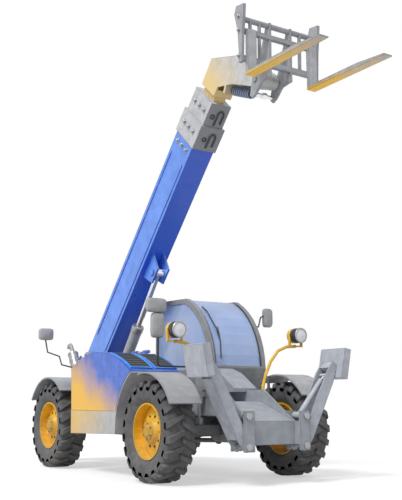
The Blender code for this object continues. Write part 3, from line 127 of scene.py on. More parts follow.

# ---------------------------------------------------------------- frame, counterweight, axles
# The frame is welded plate in mid-grey paint. Counterweight, axles and tank are bolted to it in darker grey.
# The driveline is bare cast iron. The paint is dusty low down, and a thin line of painted shade darkens it
# along its edges.


def finish(name, colour, roughness=0.5, metallic=0.0, mottle=0.10, grain=9.0, edge_shade=0.65,
           edge_width=0.015, dust=0.35, dust_top=1.1, bump=0.25, fade=None, coat=0.0, side=None):
    """A surface with mottled colour, painted shade along its edges, dust low down and an uneven gloss.
    fade is (colour, from place, to place): an overspray that grows between the two.
    side is (colour, direction): painted shade, a darker colour on the faces that look that way."""
    mat = bpy.data.materials.new(name)
    mat.use_nodes = True
    tree = mat.node_tree
    shader = tree.nodes["Principled BSDF"]
    link = tree.links.new

    def node(kind, **inputs):
        made = tree.nodes.new("ShaderNode" + kind)
        for key, value in inputs.items():
            if hasattr(made, key) and not key[0].isupper():
                setattr(made, key, value)
            else:
                made.inputs[key.replace("_", " ")].default_value = value
        return made

    def noise(scale, detail=4.0):
        made = node("TexNoise", Scale=scale, Detail=detail)
        link(place.outputs["Object"], made.inputs["Vector"])
        return made.outputs["Fac"]

    def ranged(source, low, high, to_low, to_high):
        made = node("MapRange")
        limits = (("From Min", low), ("From Max", high), ("To Min", to_low), ("To Max", to_high))
        for key, value in limits:
            made.inputs[key].default_value = value
        link(source, made.inputs["Value"])
        return made.outputs["Result"]

    def maths(operation, a, b):
        made = node("Math", operation=operation)
        for socket, value in zip(made.inputs, (a, b)):
            if isinstance(value, (int, float)):
                socket.default_value = value
            else:
                link(value, socket)
        return made.outputs[0]

    def mixed(amount, a, b):
        made = node("Mix", data_type="RGBA")
        link(amount, made.inputs[0])
        for socket, value in ((made.inputs[6], a), (made.inputs[7], b)):
            if isinstance(value, tuple):
                socket.default_value = (*value, 1)
            else:
                link(value, socket)
        return made.outputs[2]

    place = node("TexCoord")
    light = tuple(min(1.0, c * (1 + mottle) + 0.4 * mottle * 0.1) for c in colour)
    deep = tuple(c * (1 - mottle) for c in colour)
    shade = mixed(ranged(noise(grain), 0.35, 0.65, 0, 1), deep, light)
    shade = mixed(ranged(noise(1.3), 0.45, 0.75, 0, 0.5), shade, tuple(c * 0.82 for c in colour))
    # side paints shade: the faces that look the given way, here the undersides, get a darker colour
    if side:
        second, direction = side
        shade_facing = node("VectorMath", operation="DOT_PRODUCT")
        shade_facing.inputs[1].default_value = direction
        link(place.outputs["Normal"], shade_facing.inputs[0])
        shade = mixed(ranged(shade_facing.outputs["Value"], 0.5, 0.8, 0, 1), shade, second)
    if fade:
        over, start, end = fade
        line = Vector(end) - Vector(start)
        shift = node("VectorMath", operation="SUBTRACT")
        shift.inputs[1].default_value = start
        link(place.outputs["Object"], shift.inputs[0])
        dot = node("VectorMath", operation="DOT_PRODUCT")
        dot.inputs[1].default_value = line / line.length_squared
        link(shift.outputs[0], dot.inputs[0])
        ragged = maths("ADD", dot.outputs["Value"], ranged(noise(3.0), 0, 1, -0.35, 0.35))
        shade = mixed(ranged(ragged, 0.05, 0.95, 0, 1), shade, over)
    if dust:
        height = node("SeparateXYZ")
        link(place.outputs["Object"], height.inputs[0])
        low_down = ranged(height.outputs["Z"], 0.1, dust_top, 1, 0)
        patch = ranged(noise(5.0, 6.0), 0.35, 0.7, 0.15, 1)
        shade = mixed(maths("MULTIPLY", maths("MULTIPLY", low_down, patch), dust), shade,
                      (0.31, 0.29, 0.26))
    # every edge is darkened to a thin line of painted shade
    if edge_shade:
        soft = node("Bevel", samples=3)
        soft.inputs["Radius"].default_value = edge_width
        true = node("NewGeometry")
        turn = node("VectorMath", operation="DOT_PRODUCT")
        link(soft.outputs[0], turn.inputs[0])
        link(true.outputs["Normal"], turn.inputs[1])
        painted_edge_shade = ranged(turn.outputs["Value"], 0.80, 0.99, edge_shade, 0)
        shade = mixed(painted_edge_shade, shade, tuple(c * 0.12 for c in colour))
    link(shade, shader.inputs["Base Color"])
    link(ranged(noise(grain * 2.5), 0.3, 0.7, roughness - 0.08, roughness + 0.12),
         shader.inputs["Roughness"])
    relief = node("Bump", Strength=bump, Distance=0.002)
    link(noise(grain * 14, 3.0), relief.inputs["Height"])
    if edge_shade:
        link(soft.outputs[0], relief.inputs["Normal"])
    link(relief.outputs[0], shader.inputs["Normal"])
    shader.inputs["Metallic"].default_value = metallic
    shader.inputs["Coat Weight"].default_value = coat
    shader.inputs["Coat Roughness"].default_value = 0.15
    return mat


def dress(material, *names):
    """Gives CAD nodes a finish."""
    for name in names:
        mesh = nodes[name].data
        mesh.materials.clear()
        mesh.materials.append(material)
        mesh.shade_smooth()
        mesh.set_sharp_from_angle(angle=math.radians(32))


dark_paint = finish("dark frame paint", (0.17, 0.175, 0.185), 0.5)
plate_paint = finish("plate paint", (0.36, 0.38, 0.42), 0.45, dust=0.3)
iron = finish("bare casting", (0.13, 0.13, 0.135), 0.6, metallic=0.4, grain=20, bump=0.5)
dress(plate_paint, "chassis_frame")
dress(dark_paint, "counterweight", "front_axle", "rear_axle", "fuel_tank")
dress(iron, "driveline", "engine_block")
SIDES = ("front_right", "front_left", "rear_right", "rear_left")
for label in SIDES:
    dress(dark_paint, "knuckle_" + label)


def finished(piece, body, material, replaced=()):
    """Gives a piece its finish, the body it rides on and the nodes it stands for."""
    piece.data.materials.clear()
    piece.data.materials.append(material)
    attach(piece, body)
    if replaced:
        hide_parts(*replaced)
    return piece


def mesh_piece(name, shape, smooth=32):
    mesh = bpy.data.meshes.new(name)
    bmesh.ops.recalc_face_normals(shape, faces=shape.faces)
    shape.to_mesh(mesh)
    shape.free()
    mesh.shade_smooth()
    mesh.set_sharp_from_angle(angle=math.radians(smooth))
    made = bpy.data.objects.new(name, mesh)
    bpy.context.scene.collection.objects.link(made)
    return made


def turned_into(shape, profile, matrix, steps=32):
    """Adds a closed (radius, height) profile turned about the matrix's Z; radius 0 closes on the axis."""
    rings = []
    for radius, height in profile:
        if radius < 1e-6:
            rings.append([shape.verts.new(matrix @ Vector((0, 0, height)))])
            continue
        turn = [2 * math.pi * i / steps for i in range(steps)]
        places = [Vector((radius * math.cos(t), radius * math.sin(t), height)) for t in turn]
        rings.append([shape.verts.new(matrix @ place) for place in places])
    loop = list(zip(rings, rings[1:]))
    if len(rings[0]) > 1 and len(rings[-1]) > 1:
        loop.append((rings[-1], rings[0]))
    for a, b in loop:
        for i in range(steps):
            j = (i + 1) % steps
            corners = [a[i % len(a)], a[j % len(a)], b[j % len(b)], b[i % len(b)]]
            corners = list(dict.fromkeys(corners))
            if len(corners) > 2:
                shape.faces.new(corners)


def facing(place, direction):
    return Matrix.Translation(place) @ Vector(direction).to_track_quat("Z", "Y").to_matrix().to_4x4()


def bolts(name, places, direction, across, body, material):
    """Hexagon heads on washers, all facing one way."""
    shape = bmesh.new()
    washer = [(0, 0), (across * 0.85, 0), (across * 0.85, across * 0.12), (across * 0.55, across * 0.14)]
    head = [(0, 0.0), (across * 0.55, 0.0), (across * 0.58, across * 0.55), (across * 0.48, across * 0.62),
            (0, across * 0.62)]
    for place in places:
        at = facing(place, direction)
        turned_into(shape, [*washer, (0, across * 0.14)], at, 16)
        turned_into(shape, head, at @ Matrix.Translation((0, 0, across * 0.13)), 6)
    return finished(mesh_piece(name, shape, 25), body, material)


bolt_steel = finish("bolt steel", (0.42, 0.42, 0.43), 0.35, metallic=0.8, edge_shade=0, dust=0.2, grain=40)
low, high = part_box("counterweight")
middle = (low.x + high.x) / 2
for side, label in ((-1, "right"), (1, "left")):
    places = [(middle + side * x, low.y + 0.13, high.z - 0.001) for x in (0.30, 0.62)]
    bolts("counterweight_bolts_" + label, places, (0, 0, 1), 0.05, "chassis", bolt_steel)

# ---------------------------------------------------------------- tyres
# Moulded rubber with deep shoulder lugs that run in from both sides and miss each other at the middle.
# Each one is held on its rim by air pressure against the bead seats.
rubber = finish("tyre rubber", (0.105, 0.105, 0.108), 0.8, mottle=0.22, grain=14, edge_shade=0.75,
                edge_width=0.008, dust=0.35, dust_top=1.0, bump=0.6)
LUGS = 20
LUG_SKEW = 0.16
# x from the middle of the tread, outer radius, inner radius, half width along the tread
LUG_STATIONS = (
    (-0.012, 0.6205, 0.575, 0.030), (0.07, 0.6205, 0.575, 0.036), (0.140, 0.619, 0.575, 0.042),
    (0.180, 0.605, 0.560, 0.044), (0.2035, 0.565, 0.540, 0.040), (0.2035, 0.520, 0.500, 0.030),
)
CARCASS = (
    (0.3465, -0.150), (0.375, -0.172), (0.44, -0.196), (0.52, -0.198), (0.562, -0.180), (0.583, -0.130),
    (0.588, 0.0), (0.583, 0.130), (0.562, 0.180), (0.52, 0.198), (0.44, 0.196), (0.375, 0.172),
    (0.3465, 0.150),
)
for label in SIDES:
    low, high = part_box("tyre_" + label)
    centre = (low + high) / 2
    shape = bmesh.new()
    turned_into(shape, CARCASS, facing(centre, (1, 0, 0)), 72)
    for side in (-1, 1):
        for k in range(LUGS):
            start = 2 * math.pi * (k + (0.5 if side > 0 else 0.0)) / LUGS
            rings = []
            for x, outer, inner, half in LUG_STATIONS:
                angle = start - LUG_SKEW * x / 0.2
                corners = []
                for radius, way in ((outer, -0.86), (outer, 0.86), (inner, 1.15), (inner, -1.15)):
                    turn = angle + way * half / outer
                    corners.append(shape.verts.new(centre + Vector(
                        (side * x, radius * math.sin(turn), radius * math.cos(turn)))))
                rings.append(corners)
            for a, b in zip(rings, rings[1:]):
                for i in range(4):
                    shape.faces.new((a[i], a[(i + 1) % 4], b[(i + 1) % 4], b[i]))
            shape.faces.new(rings[0])
            shape.faces.new(rings[-1])
    tyre = mesh_piece("lugged_tyre_" + label, shape, 30)
    finished(tyre, "wheel_" + label, rubber, ["tyre_" + label])

# ---------------------------------------------------------------- wheels
# Pressed steel discs in yellow paint with a cast planetary hub in the middle.
# Ten nuts hold each disc to its hub, and six small bolts hold the hub's cover.
yellow = finish("wheel yellow", (0.90, 0.50, 0.015), 0.42, mottle=0.14, dust=0.5, dust_top=0.9, coat=0.2)
hub_paint = finish("hub casting", (0.60, 0.34, 0.02), 0.5, grain=20)
nut_black = finish("phosphated nuts", (0.035, 0.033, 0.03), 0.5, metallic=0.5, edge_shade=0, dust=0.2)
WHEEL_NUTS = 10
NUT_CIRCLE_R = 0.185
HUB_BOLTS = 6
HUB_CIRCLE_R = 0.092
for label in SIDES:
    dress(yellow, "rim_" + label)
    low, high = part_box("rim_" + label)
    outward = Vector((1 if "left" in label else -1, 0, 0))
    centre = (low + high) / 2
    face = centre.copy()
    face.x = high.x if outward.x > 0 else low.x
    shape = bmesh.new()
    hub = [(0.0, 0.0), (0.060, 0.0), (0.075, -0.012), (0.105, -0.020), (0.118, -0.034), (0.118, -0.060),
           (0.0, -0.060)]
    turned_into(shape, hub[::-1], facing(face + outward * 0.004, outward), 36)
    finished(mesh_piece("hub_cap_" + label, shape), "wheel_" + label, hub_paint)
    disc = centre + outward * 0.064
    nuts = []
    for k in range(WHEEL_NUTS):
        turn = 2 * math.pi * (k + 0.5) / WHEEL_NUTS
        nuts.append(disc + Vector((0, NUT_CIRCLE_R * math.sin(turn), NUT_CIRCLE_R * math.cos(turn))))
    bolts("wheel_nuts_" + label, nuts, outward, 0.030, "wheel_" + label, nut_black)
    small = []
    for k in range(HUB_BOLTS):
        turn = 2 * math.pi * k / HUB_BOLTS
        small.append(face - outward * 0.017
                     + Vector((0, HUB_CIRCLE_R * math.sin(turn), HUB_CIRCLE_R * math.cos(turn))))
    bolts("hub_bolts_" + label, small, outward, 0.016, "wheel_" + label, nut_black)

# ---------------------------------------------------------------- fenders
# Pressed sheet over each wheel in grey paint, with a rolled bead along both edges.
# Each is bolted through its post to the knuckle, so it steers with the wheel.
fender_paint = finish("fender grey", (0.40, 0.41, 0.43), 0.45, dust=0.35, dust_top=1.5)
BEAD_IN = 0.012               # the bead's line, in from the sheet's edges
BEAD_STEPS = 24


def tube(name, points, radius, sides=3):
    """A round bar or pipe along a line of points, with closed ends."""
    curve = bpy.data.curves.new(name, "CURVE")
    curve.dimensions = "3D"
    curve.bevel_depth = radius
    curve.bevel_resolution = sides
    curve.use_fill_caps = True
    line = curve.splines.new("POLY")
    line.points.add(len(points) - 1)
    for point, place in zip(line.points, points):
        point.co = (*place, 1)
    made = bpy.data.objects.new(name, curve)
    bpy.context.scene.collection.objects.link(made)
    return made


for label in SIDES:
    dress(fender_paint, "fender_" + label)
    low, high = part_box("fender_" + label)
    wheel = (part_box("tyre_" + label)[0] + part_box("tyre_" + label)[1]) / 2
    radius = high.z - wheel.z - BEAD_IN
    reach = [math.asin(max(-1, min(1, (y - wheel.y) / (radius + BEAD_IN)))) for y in (low.y, high.y)]
    turns = [reach[0] + (reach[1] - reach[0]) * i / BEAD_STEPS for i in range(BEAD_STEPS + 1)]
    for x, edge_name in ((low.x + BEAD_IN, "inner"), (high.x - BEAD_IN, "outer")):
        route = [(x, wheel.y + radius * math.sin(turn), wheel.z + radius * math.cos(turn))
                 for turn in turns]
        finished(tube("fender_bead_" + edge_name + "_" + label, route, 0.011),
                 "steer_" + label, fender_paint)

# ---------------------------------------------------------------- engine pod
# A welded tray under a moulded hood. The hood is dark blue and turns to sprayed yellow at its lower rear.
# Two slatted grilles lie in its forward slope.
low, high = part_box("engine_hood")
hood_blue = finish(
    "hood blue", (0.035, 0.135, 0.62), 0.36, mottle=0.16, dust=0.15, coat=0.35,
    fade=((0.93, 0.50, 0.012), (low.x, low.y + 0.90, low.z + 0.60), (low.x, low.y + 1.17, low.z + 0.06)),
)
tray_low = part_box("engine_tray")[0]
tray_paint = finish(
    "tray grey", (0.50, 0.50, 0.50), 0.45, dust=0.4, dust_top=1.0,
    fade=((0.86, 0.56, 0.16), (tray_low.x, low.y + 0.6, tray_low.z),
          (tray_low.x, high.y, tray_low.z + 0.45)),
)
dress(hood_blue, "engine_hood")
dress(tray_paint, "engine_tray")


def surface_of(name):
    mesh = nodes[name].data
    mesh.calc_loop_triangles()
    return BVHTree.FromPolygons([v.co for v in mesh.vertices],
                                [tuple(t.vertices) for t in mesh.loop_triangles])


hood_surface = surface_of("engine_hood")


def hood_top(x, y):
    hit, normal, _, _ = hood_surface.ray_cast(Vector((x, y, 3.0)), Vector((0, 0, -1)))
    return hit, normal


grille_grey = finish("grille grey", (0.075, 0.078, 0.082), 0.55, edge_shade=0, dust=0.1, grain=60)
bead_blue = finish("bead blue", (0.045, 0.30, 0.95), 0.3, edge_shade=0, dust=0, coat=0.4)
SLOPE = (0.07, 0.66)          # where the grilles start and end behind the hood's tip
GRILLE_EDGE = 0.05
GRILLE_GAP = 0.05
STEPS = 14
SLATS = 9
width = (high.x - low.x - 2 * GRILLE_EDGE - GRILLE_GAP) / 2


def on_slope(x, share, lift):
    y = low.y + SLOPE[0] + (SLOPE[1] - SLOPE[0]) * share
    hit, normal = hood_top(low.x + 0.3, y)
    return Vector((x, y, hit.z)) + normal * lift


def strip_on_slope(shape, section, shares):
    """Sweeps an (x, lift) section down the slope."""
    rings = [[shape.verts.new(on_slope(x, share, lift)) for x, lift in section] for share in shares]
    for a, b in zip(rings, rings[1:]):
        for i in range(len(section)):
            j = (i + 1) % len(section)
            shape.faces.new((a[i], a[j], b[j], b[i]))
    shape.faces.new(rings[0])
    shape.faces.new(rings[-1])


for label, x0 in (("outer", low.x + GRILLE_EDGE), ("inner", high.x - GRILLE_EDGE - width)):
    x1 = x0 + width
    every = [i / STEPS for i in range(STEPS + 1)]
    shape = bmesh.new()
    strip_on_slope(shape, [(x0, 0.0005), (x1, 0.0005), (x1, 0.004), (x0, 0.004)], every)
    for k in range(SLATS):
        start = (k + 0.25) / SLATS
        end = (k + 0.70) / SLATS
        section = [(x0 + 0.012, 0.003), (x1 - 0.012, 0.003), (x1 - 0.012, 0.011), (x0 + 0.012, 0.011)]
        strip_on_slope(shape, section, [start, (start + end) / 2, end])
    finished(mesh_piece("grille_" + label, shape), "hood", grille_grey)
    shape = bmesh.new()
    for x in (x0, x1):
        bead = [(x - 0.012, 0.0), (x - 0.008, 0.016), (x + 0.008, 0.016), (x + 0.012, 0.0)]
        strip_on_slope(shape, bead, every)
    for share in (0.0, 0.975):
        bead = [(x0 + 0.012, 0.0), (x0 + 0.012, 0.015), (x1 - 0.012, 0.015), (x1 - 0.012, 0.0)]
        strip_on_slope(shape, bead, [share, share + 0.025])
    finished(mesh_piece("grille_frame_" + label, shape), "hood", bead_blue)

# ---------------------------------------------------------------- exhaust
# Two silencers in heat-stained steel and a tail pipe that curls over to the rear.
# Rolled steel bands clamp the silencers.
hot_steel = finish("heat-stained steel", (0.40, 0.40, 0.41), 0.4, metallic=0.6, mottle=0.2, dust=0)
dress(hot_steel, "exhaust")
# axis start, axis end and radius, measured from the exhaust's low corner
SILENCERS = (
    ((0.075, 0.135, 0.66), (0.075, 0.30, 0.92), 0.075),
    ((0.235, 0.125, 0.66), (0.235, 0.26, 0.87), 0.070),
)
BAND_SHARES = (0.12, 0.55, 0.94)
low = Vector(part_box("exhaust")[0])
shape = bmesh.new()
for start, end, radius in SILENCERS:
    start = low + Vector(start)
    end = low + Vector(end)
    for share in BAND_SHARES:
        at = facing(start.lerp(end, share), end - start)
        band = [(radius - 0.003, -0.010), (radius + 0.004, -0.008), (radius + 0.004, 0.008),
                (radius - 0.003, 0.010)]
        turned_into(shape, band, at, 28)
finished(mesh_piece("silencer_bands", shape), "chassis", bolt_steel)

# ---------------------------------------------------------------- boom
# Folded and welded plate in bright blue. The inner sections are grey and wear bright where the slider pads
# run. Bolts through each head collar hold the pads.
along = Vector(joints["boom_extend"]["axis"])
foot = Vector(joints["boom_lift"]["pos_m"])
below = Vector((0, along.z * -1, along.y))


def on_boom(s, n, x=0.0):
    return foot + along * s + below * n + Vector((x, 0, 0))


# the boom's underside is painted a darker blue as painted shade
boom_blue = finish("boom blue", (0.11, 0.29, 0.93), 0.34, mottle=0.14, grain=5, dust=0.1, coat=0.35,
                   side=((0.028, 0.125, 0.74), below))
# the inner sections' undersides are painted a darker grey as painted shade
section_grey = finish("section grey", (0.58, 0.585, 0.60), 0.38, mottle=0.12, dust=0,
                      side=((0.30, 0.31, 0.325), below))
head_paint = finish(
    "head grey", (0.62, 0.615, 0.60), 0.42, mottle=0.12, dust=0,
    fade=((0.88, 0.66, 0.30), on_boom(5.56, 0.42), on_boom(4.98, 0.28)),
)
dress(boom_blue, "boom_outer")
dress(section_grey, "boom_second", "boom_third")
dress(head_paint, "boom_fourth")
low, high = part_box("boom_outer")
outer_half = (high.x - low.x) / 2
# side strips that stiffen the outer section: place below the pin line, half height
STRIPS = ((-0.155, 0.014), (0.250, 0.018))
for side, label in ((-1, "right"), (1, "left")):
    shape = bmesh.new()
    for n, half in STRIPS:
        section = ((-half, -0.001), (-half * 0.6, 0.010), (half * 0.6, 0.010), (half, -0.001))
        ring = []
        for s in (0.45, 0.50, 3.85, 3.90):
            taper = 0.3 if s in (0.45, 3.90) else 1.0
            ring.append([shape.verts.new(on_boom(s, n + dn * taper, side * (outer_half + dx * taper)))
                         for dn, dx in section])
        for a, b in zip(ring, ring[1:]):
            for i in range(4):
                shape.faces.new((a[i], a[(i + 1) % 4], b[(i + 1) % 4], b[i]))
        shape.faces.new(ring[0])
        shape.faces.new(ring[-1])
    finished(mesh_piece("boom_side_strips_" + label, shape), "boom_1", boom_blue)
# collar: place along the boom, half width, body
COLLARS = (
    (4.10, "boom_outer", "boom_1"), (4.40, "boom_second", "boom_2"), (4.74, "boom_third", "boom_3"),
)
for s, name, body in COLLARS:
    low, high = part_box(name)
    half = (high.x - low.x) / 2
    for side, label in ((-1, "right"), (1, "left")):
        places = [on_boom(s, n, side * half) for n in (-0.10, 0.05, 0.20)]
        bolts(f"pad_bolts_{name}_{label}", places, (side, 0, 0), 0.042, body, bolt_steel)

# under each grey collar: a grease boss and a bent steel pipe
pipe_steel = finish("dark pipe", (0.06, 0.06, 0.065), 0.4, metallic=0.3, edge_shade=0, dust=0)
for s, name, body in COLLARS[1:]:
    low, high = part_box(name)
    # the collar's underside, found from the node's own surface
    under = surface_of(name).ray_cast(on_boom(s, 0.9), -below)[0]
    depth = (under - foot).dot(below)
    shape = bmesh.new()
    ring = [(0.018, -0.004), (0.036, -0.004), (0.036, 0.010), (0.030, 0.014), (0.022, 0.014),
            (0.018, 0.008)]
    turned_into(shape, ring, facing(on_boom(s - 0.03, depth, -0.07), below), 28)
    finished(mesh_piece("grease_boss_" + name, shape), body, pipe_steel)
    route = [(s - 0.15, 0.0, 0.0), (s - 0.13, 0.014, 0.0), (s + 0.02, 0.016, 0.0), (s + 0.06, 0.016, 0.015),
             (s + 0.075, 0.016, 0.045), (s + 0.06, 0.016, 0.075), (s + 0.02, 0.016, 0.09),
             (s - 0.10, 0.014, 0.09), (s - 0.12, 0.0, 0.09)]
    points = [on_boom(along_s, depth + out, x) for along_s, out, x in route]
    finished(tube("collar_pipe_" + name, points, 0.011), body, pipe_steel)

# ---------------------------------------------------------------- lift, tilt and leg cylinders
# Painted steel tube with a turned gland at its mouth, and a hard-chromed rod.
# A pin at each end holds them. The tilt cylinder sits in a ribbed rubber guard.
chrome = finish("hard chrome", (0.78, 0.79, 0.81), 0.14, metallic=1.0, mottle=0.03, edge_shade=0, dust=0,
                bump=0.02)
barrel_paint = finish("cylinder grey", (0.46, 0.48, 0.52), 0.35, mottle=0.1, dust=0.1, coat=0.2)
dress(chrome, "lift_rod", "tilt_rod", "leg_rod_left", "leg_rod_right")
dress(barrel_paint, "lift_barrel", "leg_barrel_left", "leg_barrel_right", "levelling_cylinder")
black_rubber = finish("guard rubber", (0.03, 0.034, 0.045), 0.7, grain=30, edge_shade=0, dust=0)
guard = finish("guard ribs", (0.36, 0.42, 0.60), 0.5, grain=30, edge_shade=0.5, edge_width=0.004, dust=0)
dress(black_rubber, "tilt_barrel")
tilt_way = Vector(joints["tilt_rod"]["axis"])
low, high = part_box("tilt_barrel")
tilt_middle = (low + high) / 2
shape = bmesh.new()
RIBS = 8
GUARD_LENGTH = 0.42
RIB = ((0.054, -0.014), (0.063, -0.011), (0.067, 0.0), (0.063, 0.011), (0.054, 0.014))
for k in range(RIBS):
    at = facing(tilt_middle + tilt_way * (GUARD_LENGTH * (k + 0.5) / RIBS - GUARD_LENGTH / 2), tilt_way)
    turned_into(shape, RIB, at, 28)
finished(mesh_piece("tilt_guard", shape), "boom_4", guard)
lift_base = Vector(joints["lift_barrel"]["pos_m"])
lift_way = Vector(joints["lift_rod"]["axis"])
shape = bmesh.new()
gland = [(0.047, -0.10), (0.092, -0.10), (0.095, -0.09), (0.095, -0.02), (0.088, 0.0), (0.060, 0.012),
         (0.047, 0.012)]
turned_into(shape, gland, facing(lift_base + lift_way * 1.55, lift_way), 36)
finished(mesh_piece("lift_gland", shape), "lift_barrel", bolt_steel)
# the steel pipe along the barrel: distance from its base, distance from its middle line
across = lift_way.cross(Vector((1, 0, 0))).normalized()
stops = ((0.16, 0.080), (0.22, 0.103), (1.38, 0.103), (1.44, 0.080))
points = [lift_base + lift_way * s + across * out for s, out in stops]
finished(tube("lift_pipe", points, 0.011, 4), "lift_barrel", bolt_steel)

# ---------------------------------------------------------------- carriage and forks
# A welded rack of two bars and a round shaft between end plates; the forged forks hang on it. The blades'
# edges are sprayed yellow where they show.
carriage_paint = finish("carriage grey", (0.40, 0.41, 0.43), 0.42, mottle=0.12, dust=0)
dress(carriage_paint, "fork_carriage")
OVERSPRAY_Y = 0.225           # the overspray's line starts this far before the fork's low corner
for label in ("left", "right"):
    low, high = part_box("fork_" + label)
    forged = finish("forged steel " + label, (0.45, 0.46, 0.48), 0.38, metallic=0.35, mottle=0.16, dust=0,
                    fade=((0.90, 0.52, 0.02), (low.x, low.y - OVERSPRAY_Y, low.z),
                          (low.x, low.y - OVERSPRAY_Y + 0.00128, low.z - 0.03996)))
    dress(forged, "fork_" + label)
carriage_low, carriage_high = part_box("fork_carriage")
for side, x in ((-1, carriage_low.x), (1, carriage_high.x)):
    places = [(x, carriage_low.y + 0.105, carriage_high.z - dz) for dz in (0.15, 0.33, 0.66)]
    bolts("carriage_bolts_" + ("right" if side < 0 else "left"), places, (side, 0, 0), 0.034, "carriage",
          bolt_steel)

# ---------------------------------------------------------------- stabiliser legs
# Box channels in grey paint with flat ground pads.
# A headed pin through the nose box holds each leg, and another its cylinder.
leg_paint = finish("leg grey", (0.47, 0.49, 0.54), 0.4, mottle=0.12, dust=0.3, dust_top=0.9)
dress(leg_paint, "stabiliser_left", "stabiliser_right")
for side, label in ((-1, "right"), (1, "left")):
    pin = Vector(joints["leg_" + label]["pos_m"])
    base = Vector(joints["leg_barrel_" + label]["pos_m"])
    shape = bmesh.new()
    cap = [(0.0, 0.016), (0.030, 0.016), (0.040, 0.010), (0.044, 0.0), (0.044, -0.012), (0.0, -0.012)]
    front_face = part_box("chassis_frame")[0].y
    for place in (pin, base):
        turned_into(shape, cap, facing((place.x, front_face + 0.008, place.z), (0, -1, 0)), 24)
    finished(mesh_piece("pin_caps_" + label, shape), "chassis", bolt_steel)

# ---------------------------------------------------------------- cab
# A pressed steel frame in dark grey, bolted to the outriggers, with tinted glass bonded in.
# The screen curves over into the roof.
cab_paint = finish("cab frame grey", (0.27, 0.275, 0.29), 0.4, mottle=0.1, dust=0.2, coat=0.2)
dress(cab_paint, "cab_shell", "cab_door")
glass = bpy.data.materials.new("tinted glass")
glass.use_nodes = True
glass_tree = glass.node_tree
glass_shader = glass_tree.nodes["Principled BSDF"]
glass_shader.inputs["Alpha"].default_value = 0.58
glass_shader.inputs["Coat Weight"].default_value = 0.8
glass_shader.inputs["Coat Roughness"].default_value = 0.03
glass_place = glass_tree.nodes.new("ShaderNodeTexCoord")
glass_smear = glass_tree.nodes.new("ShaderNodeTexNoise")
glass_smear.inputs["Scale"].default_value = 2.2
glass_range = glass_tree.nodes.new("ShaderNodeMapRange")
glass_range.inputs["To Min"].default_value = 0.03
glass_range.inputs["To Max"].default_value = 0.20
glass_ramp = glass_tree.nodes.new("ShaderNodeMix")
glass_ramp.data_type = "RGBA"
glass_ramp.inputs[6].default_value = (0.33, 0.50, 0.96, 1)
glass_ramp.inputs[7].default_value = (0.62, 0.76, 1.0, 1)
glass_tree.links.new(glass_place.outputs["Object"], glass_smear.inputs["Vector"])
glass_tree.links.new(glass_smear.outputs["Fac"], glass_range.inputs["Value"])
glass_tree.links.new(glass_range.outputs["Result"], glass_shader.inputs["Roughness"])
glass_tree.links.new(glass_smear.outputs["Fac"], glass_ramp.inputs[0])
glass_tree.links.new(glass_ramp.outputs[2], glass_shader.inputs["Base Color"])
dress(glass, "windscreen", "cab_side_glass", "cab_rear_glass", "door_glass")

# the wiper: a parallel arm on the screen, with its blade
screen = surface_of("windscreen")
low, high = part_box("windscreen")


def on_screen(x, z, lift):
    hit, normal, _, _ = screen.ray_cast(Vector((x, low.y - 1.0, z)), Vector((0, 1, 0)))
    return hit + normal * lift


black_plastic = finish("black plastic", (0.03, 0.03, 0.032), 0.5, edge_shade=0, dust=0.1, grain=30)
park = low.x + 0.10
for name, radius, route in (
    ("wiper_blade", 0.007, [(park + 0.006 * k, low.z + 0.10 + 0.05 * k, 0.009) for k in range(10)]),
    ("wiper_arm", 0.009, [(park - 0.02, high.z - 0.14, 0.012), (park - 0.005, high.z - 0.22, 0.022),
                          (park + 0.015, low.z + 0.52, 0.022), (park + 0.03, low.z + 0.34, 0.014)]),
):
    points = [on_screen(x, z, lift) for x, z, lift in route]
    finished(tube(name, points, radius), "chassis", black_plastic)

# the rubber seals up both sides of the windscreen
SEAL_STEPS = 20
levels = [low.z + 0.01 + (high.z - low.z - 0.07) * i / SEAL_STEPS for i in range(SEAL_STEPS + 1)]
for side, x in (("right", low.x + 0.008), ("left", high.x - 0.008)):
    points = [on_screen(x, z, 0.003) for z in levels]
    finished(tube("screen_seal_" + side, points, 0.009), "chassis", black_plastic)

# ---------------------------------------------------------------- seat and controls
# A foam cushion and back in black fabric with sewn channels across.
# They are bolted on a sprung pedestal in a plastic boot that stands on the cab floor.
fabric = finish("seat fabric", (0.045, 0.045, 0.05), 0.9, mottle=0.3, grain=60, edge_shade=0, dust=0, bump=0.8)
dress(black_plastic, "steering_column")
low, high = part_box("seat")
seat_mid = (low.x + high.x) / 2


def cushion(shape, centre, size, turn, channels):
    """A crowned pad, rounded in plan, with sewn channels across its top."""
    across, deep = 24, 24
    grid = {}
    for face_side in (-1, 1):
        for i in range(across + 1):
            for j in range(deep + 1):
                u = 2 * i / across - 1
                v = 2 * j / deep - 1
                rounded = Vector((u * math.sqrt(1 - v * v * 0.22), v * math.sqrt(1 - u * u * 0.22), 0))
                dome = max(0.0, (1 - u ** 4) * (1 - v ** 4)) ** 0.5
                seam = 0.12 * dome * max(0.0, 1 - abs(math.sin(math.pi * channels * (v + 1) / 2)) * 4)
                height = dome - seam if face_side > 0 else -0.55 * dome
                place = Vector((rounded.x * size[0], rounded.y * size[1], height * size[2]))
                key = (face_side, i, j)
                border = i in (0, across) or j in (0, deep)
                if border and face_side > 0:
                    grid[key] = grid[(-1, i, j)]
                else:
                    grid[key] = shape.verts.new(centre + turn @ place)
        for i in range(across):
            for j in range(deep):
                shape.faces.new([grid[(face_side, a, b)] for a, b in
                                 ((i, j), (i + 1, j), (i + 1, j + 1), (i, j + 1))])


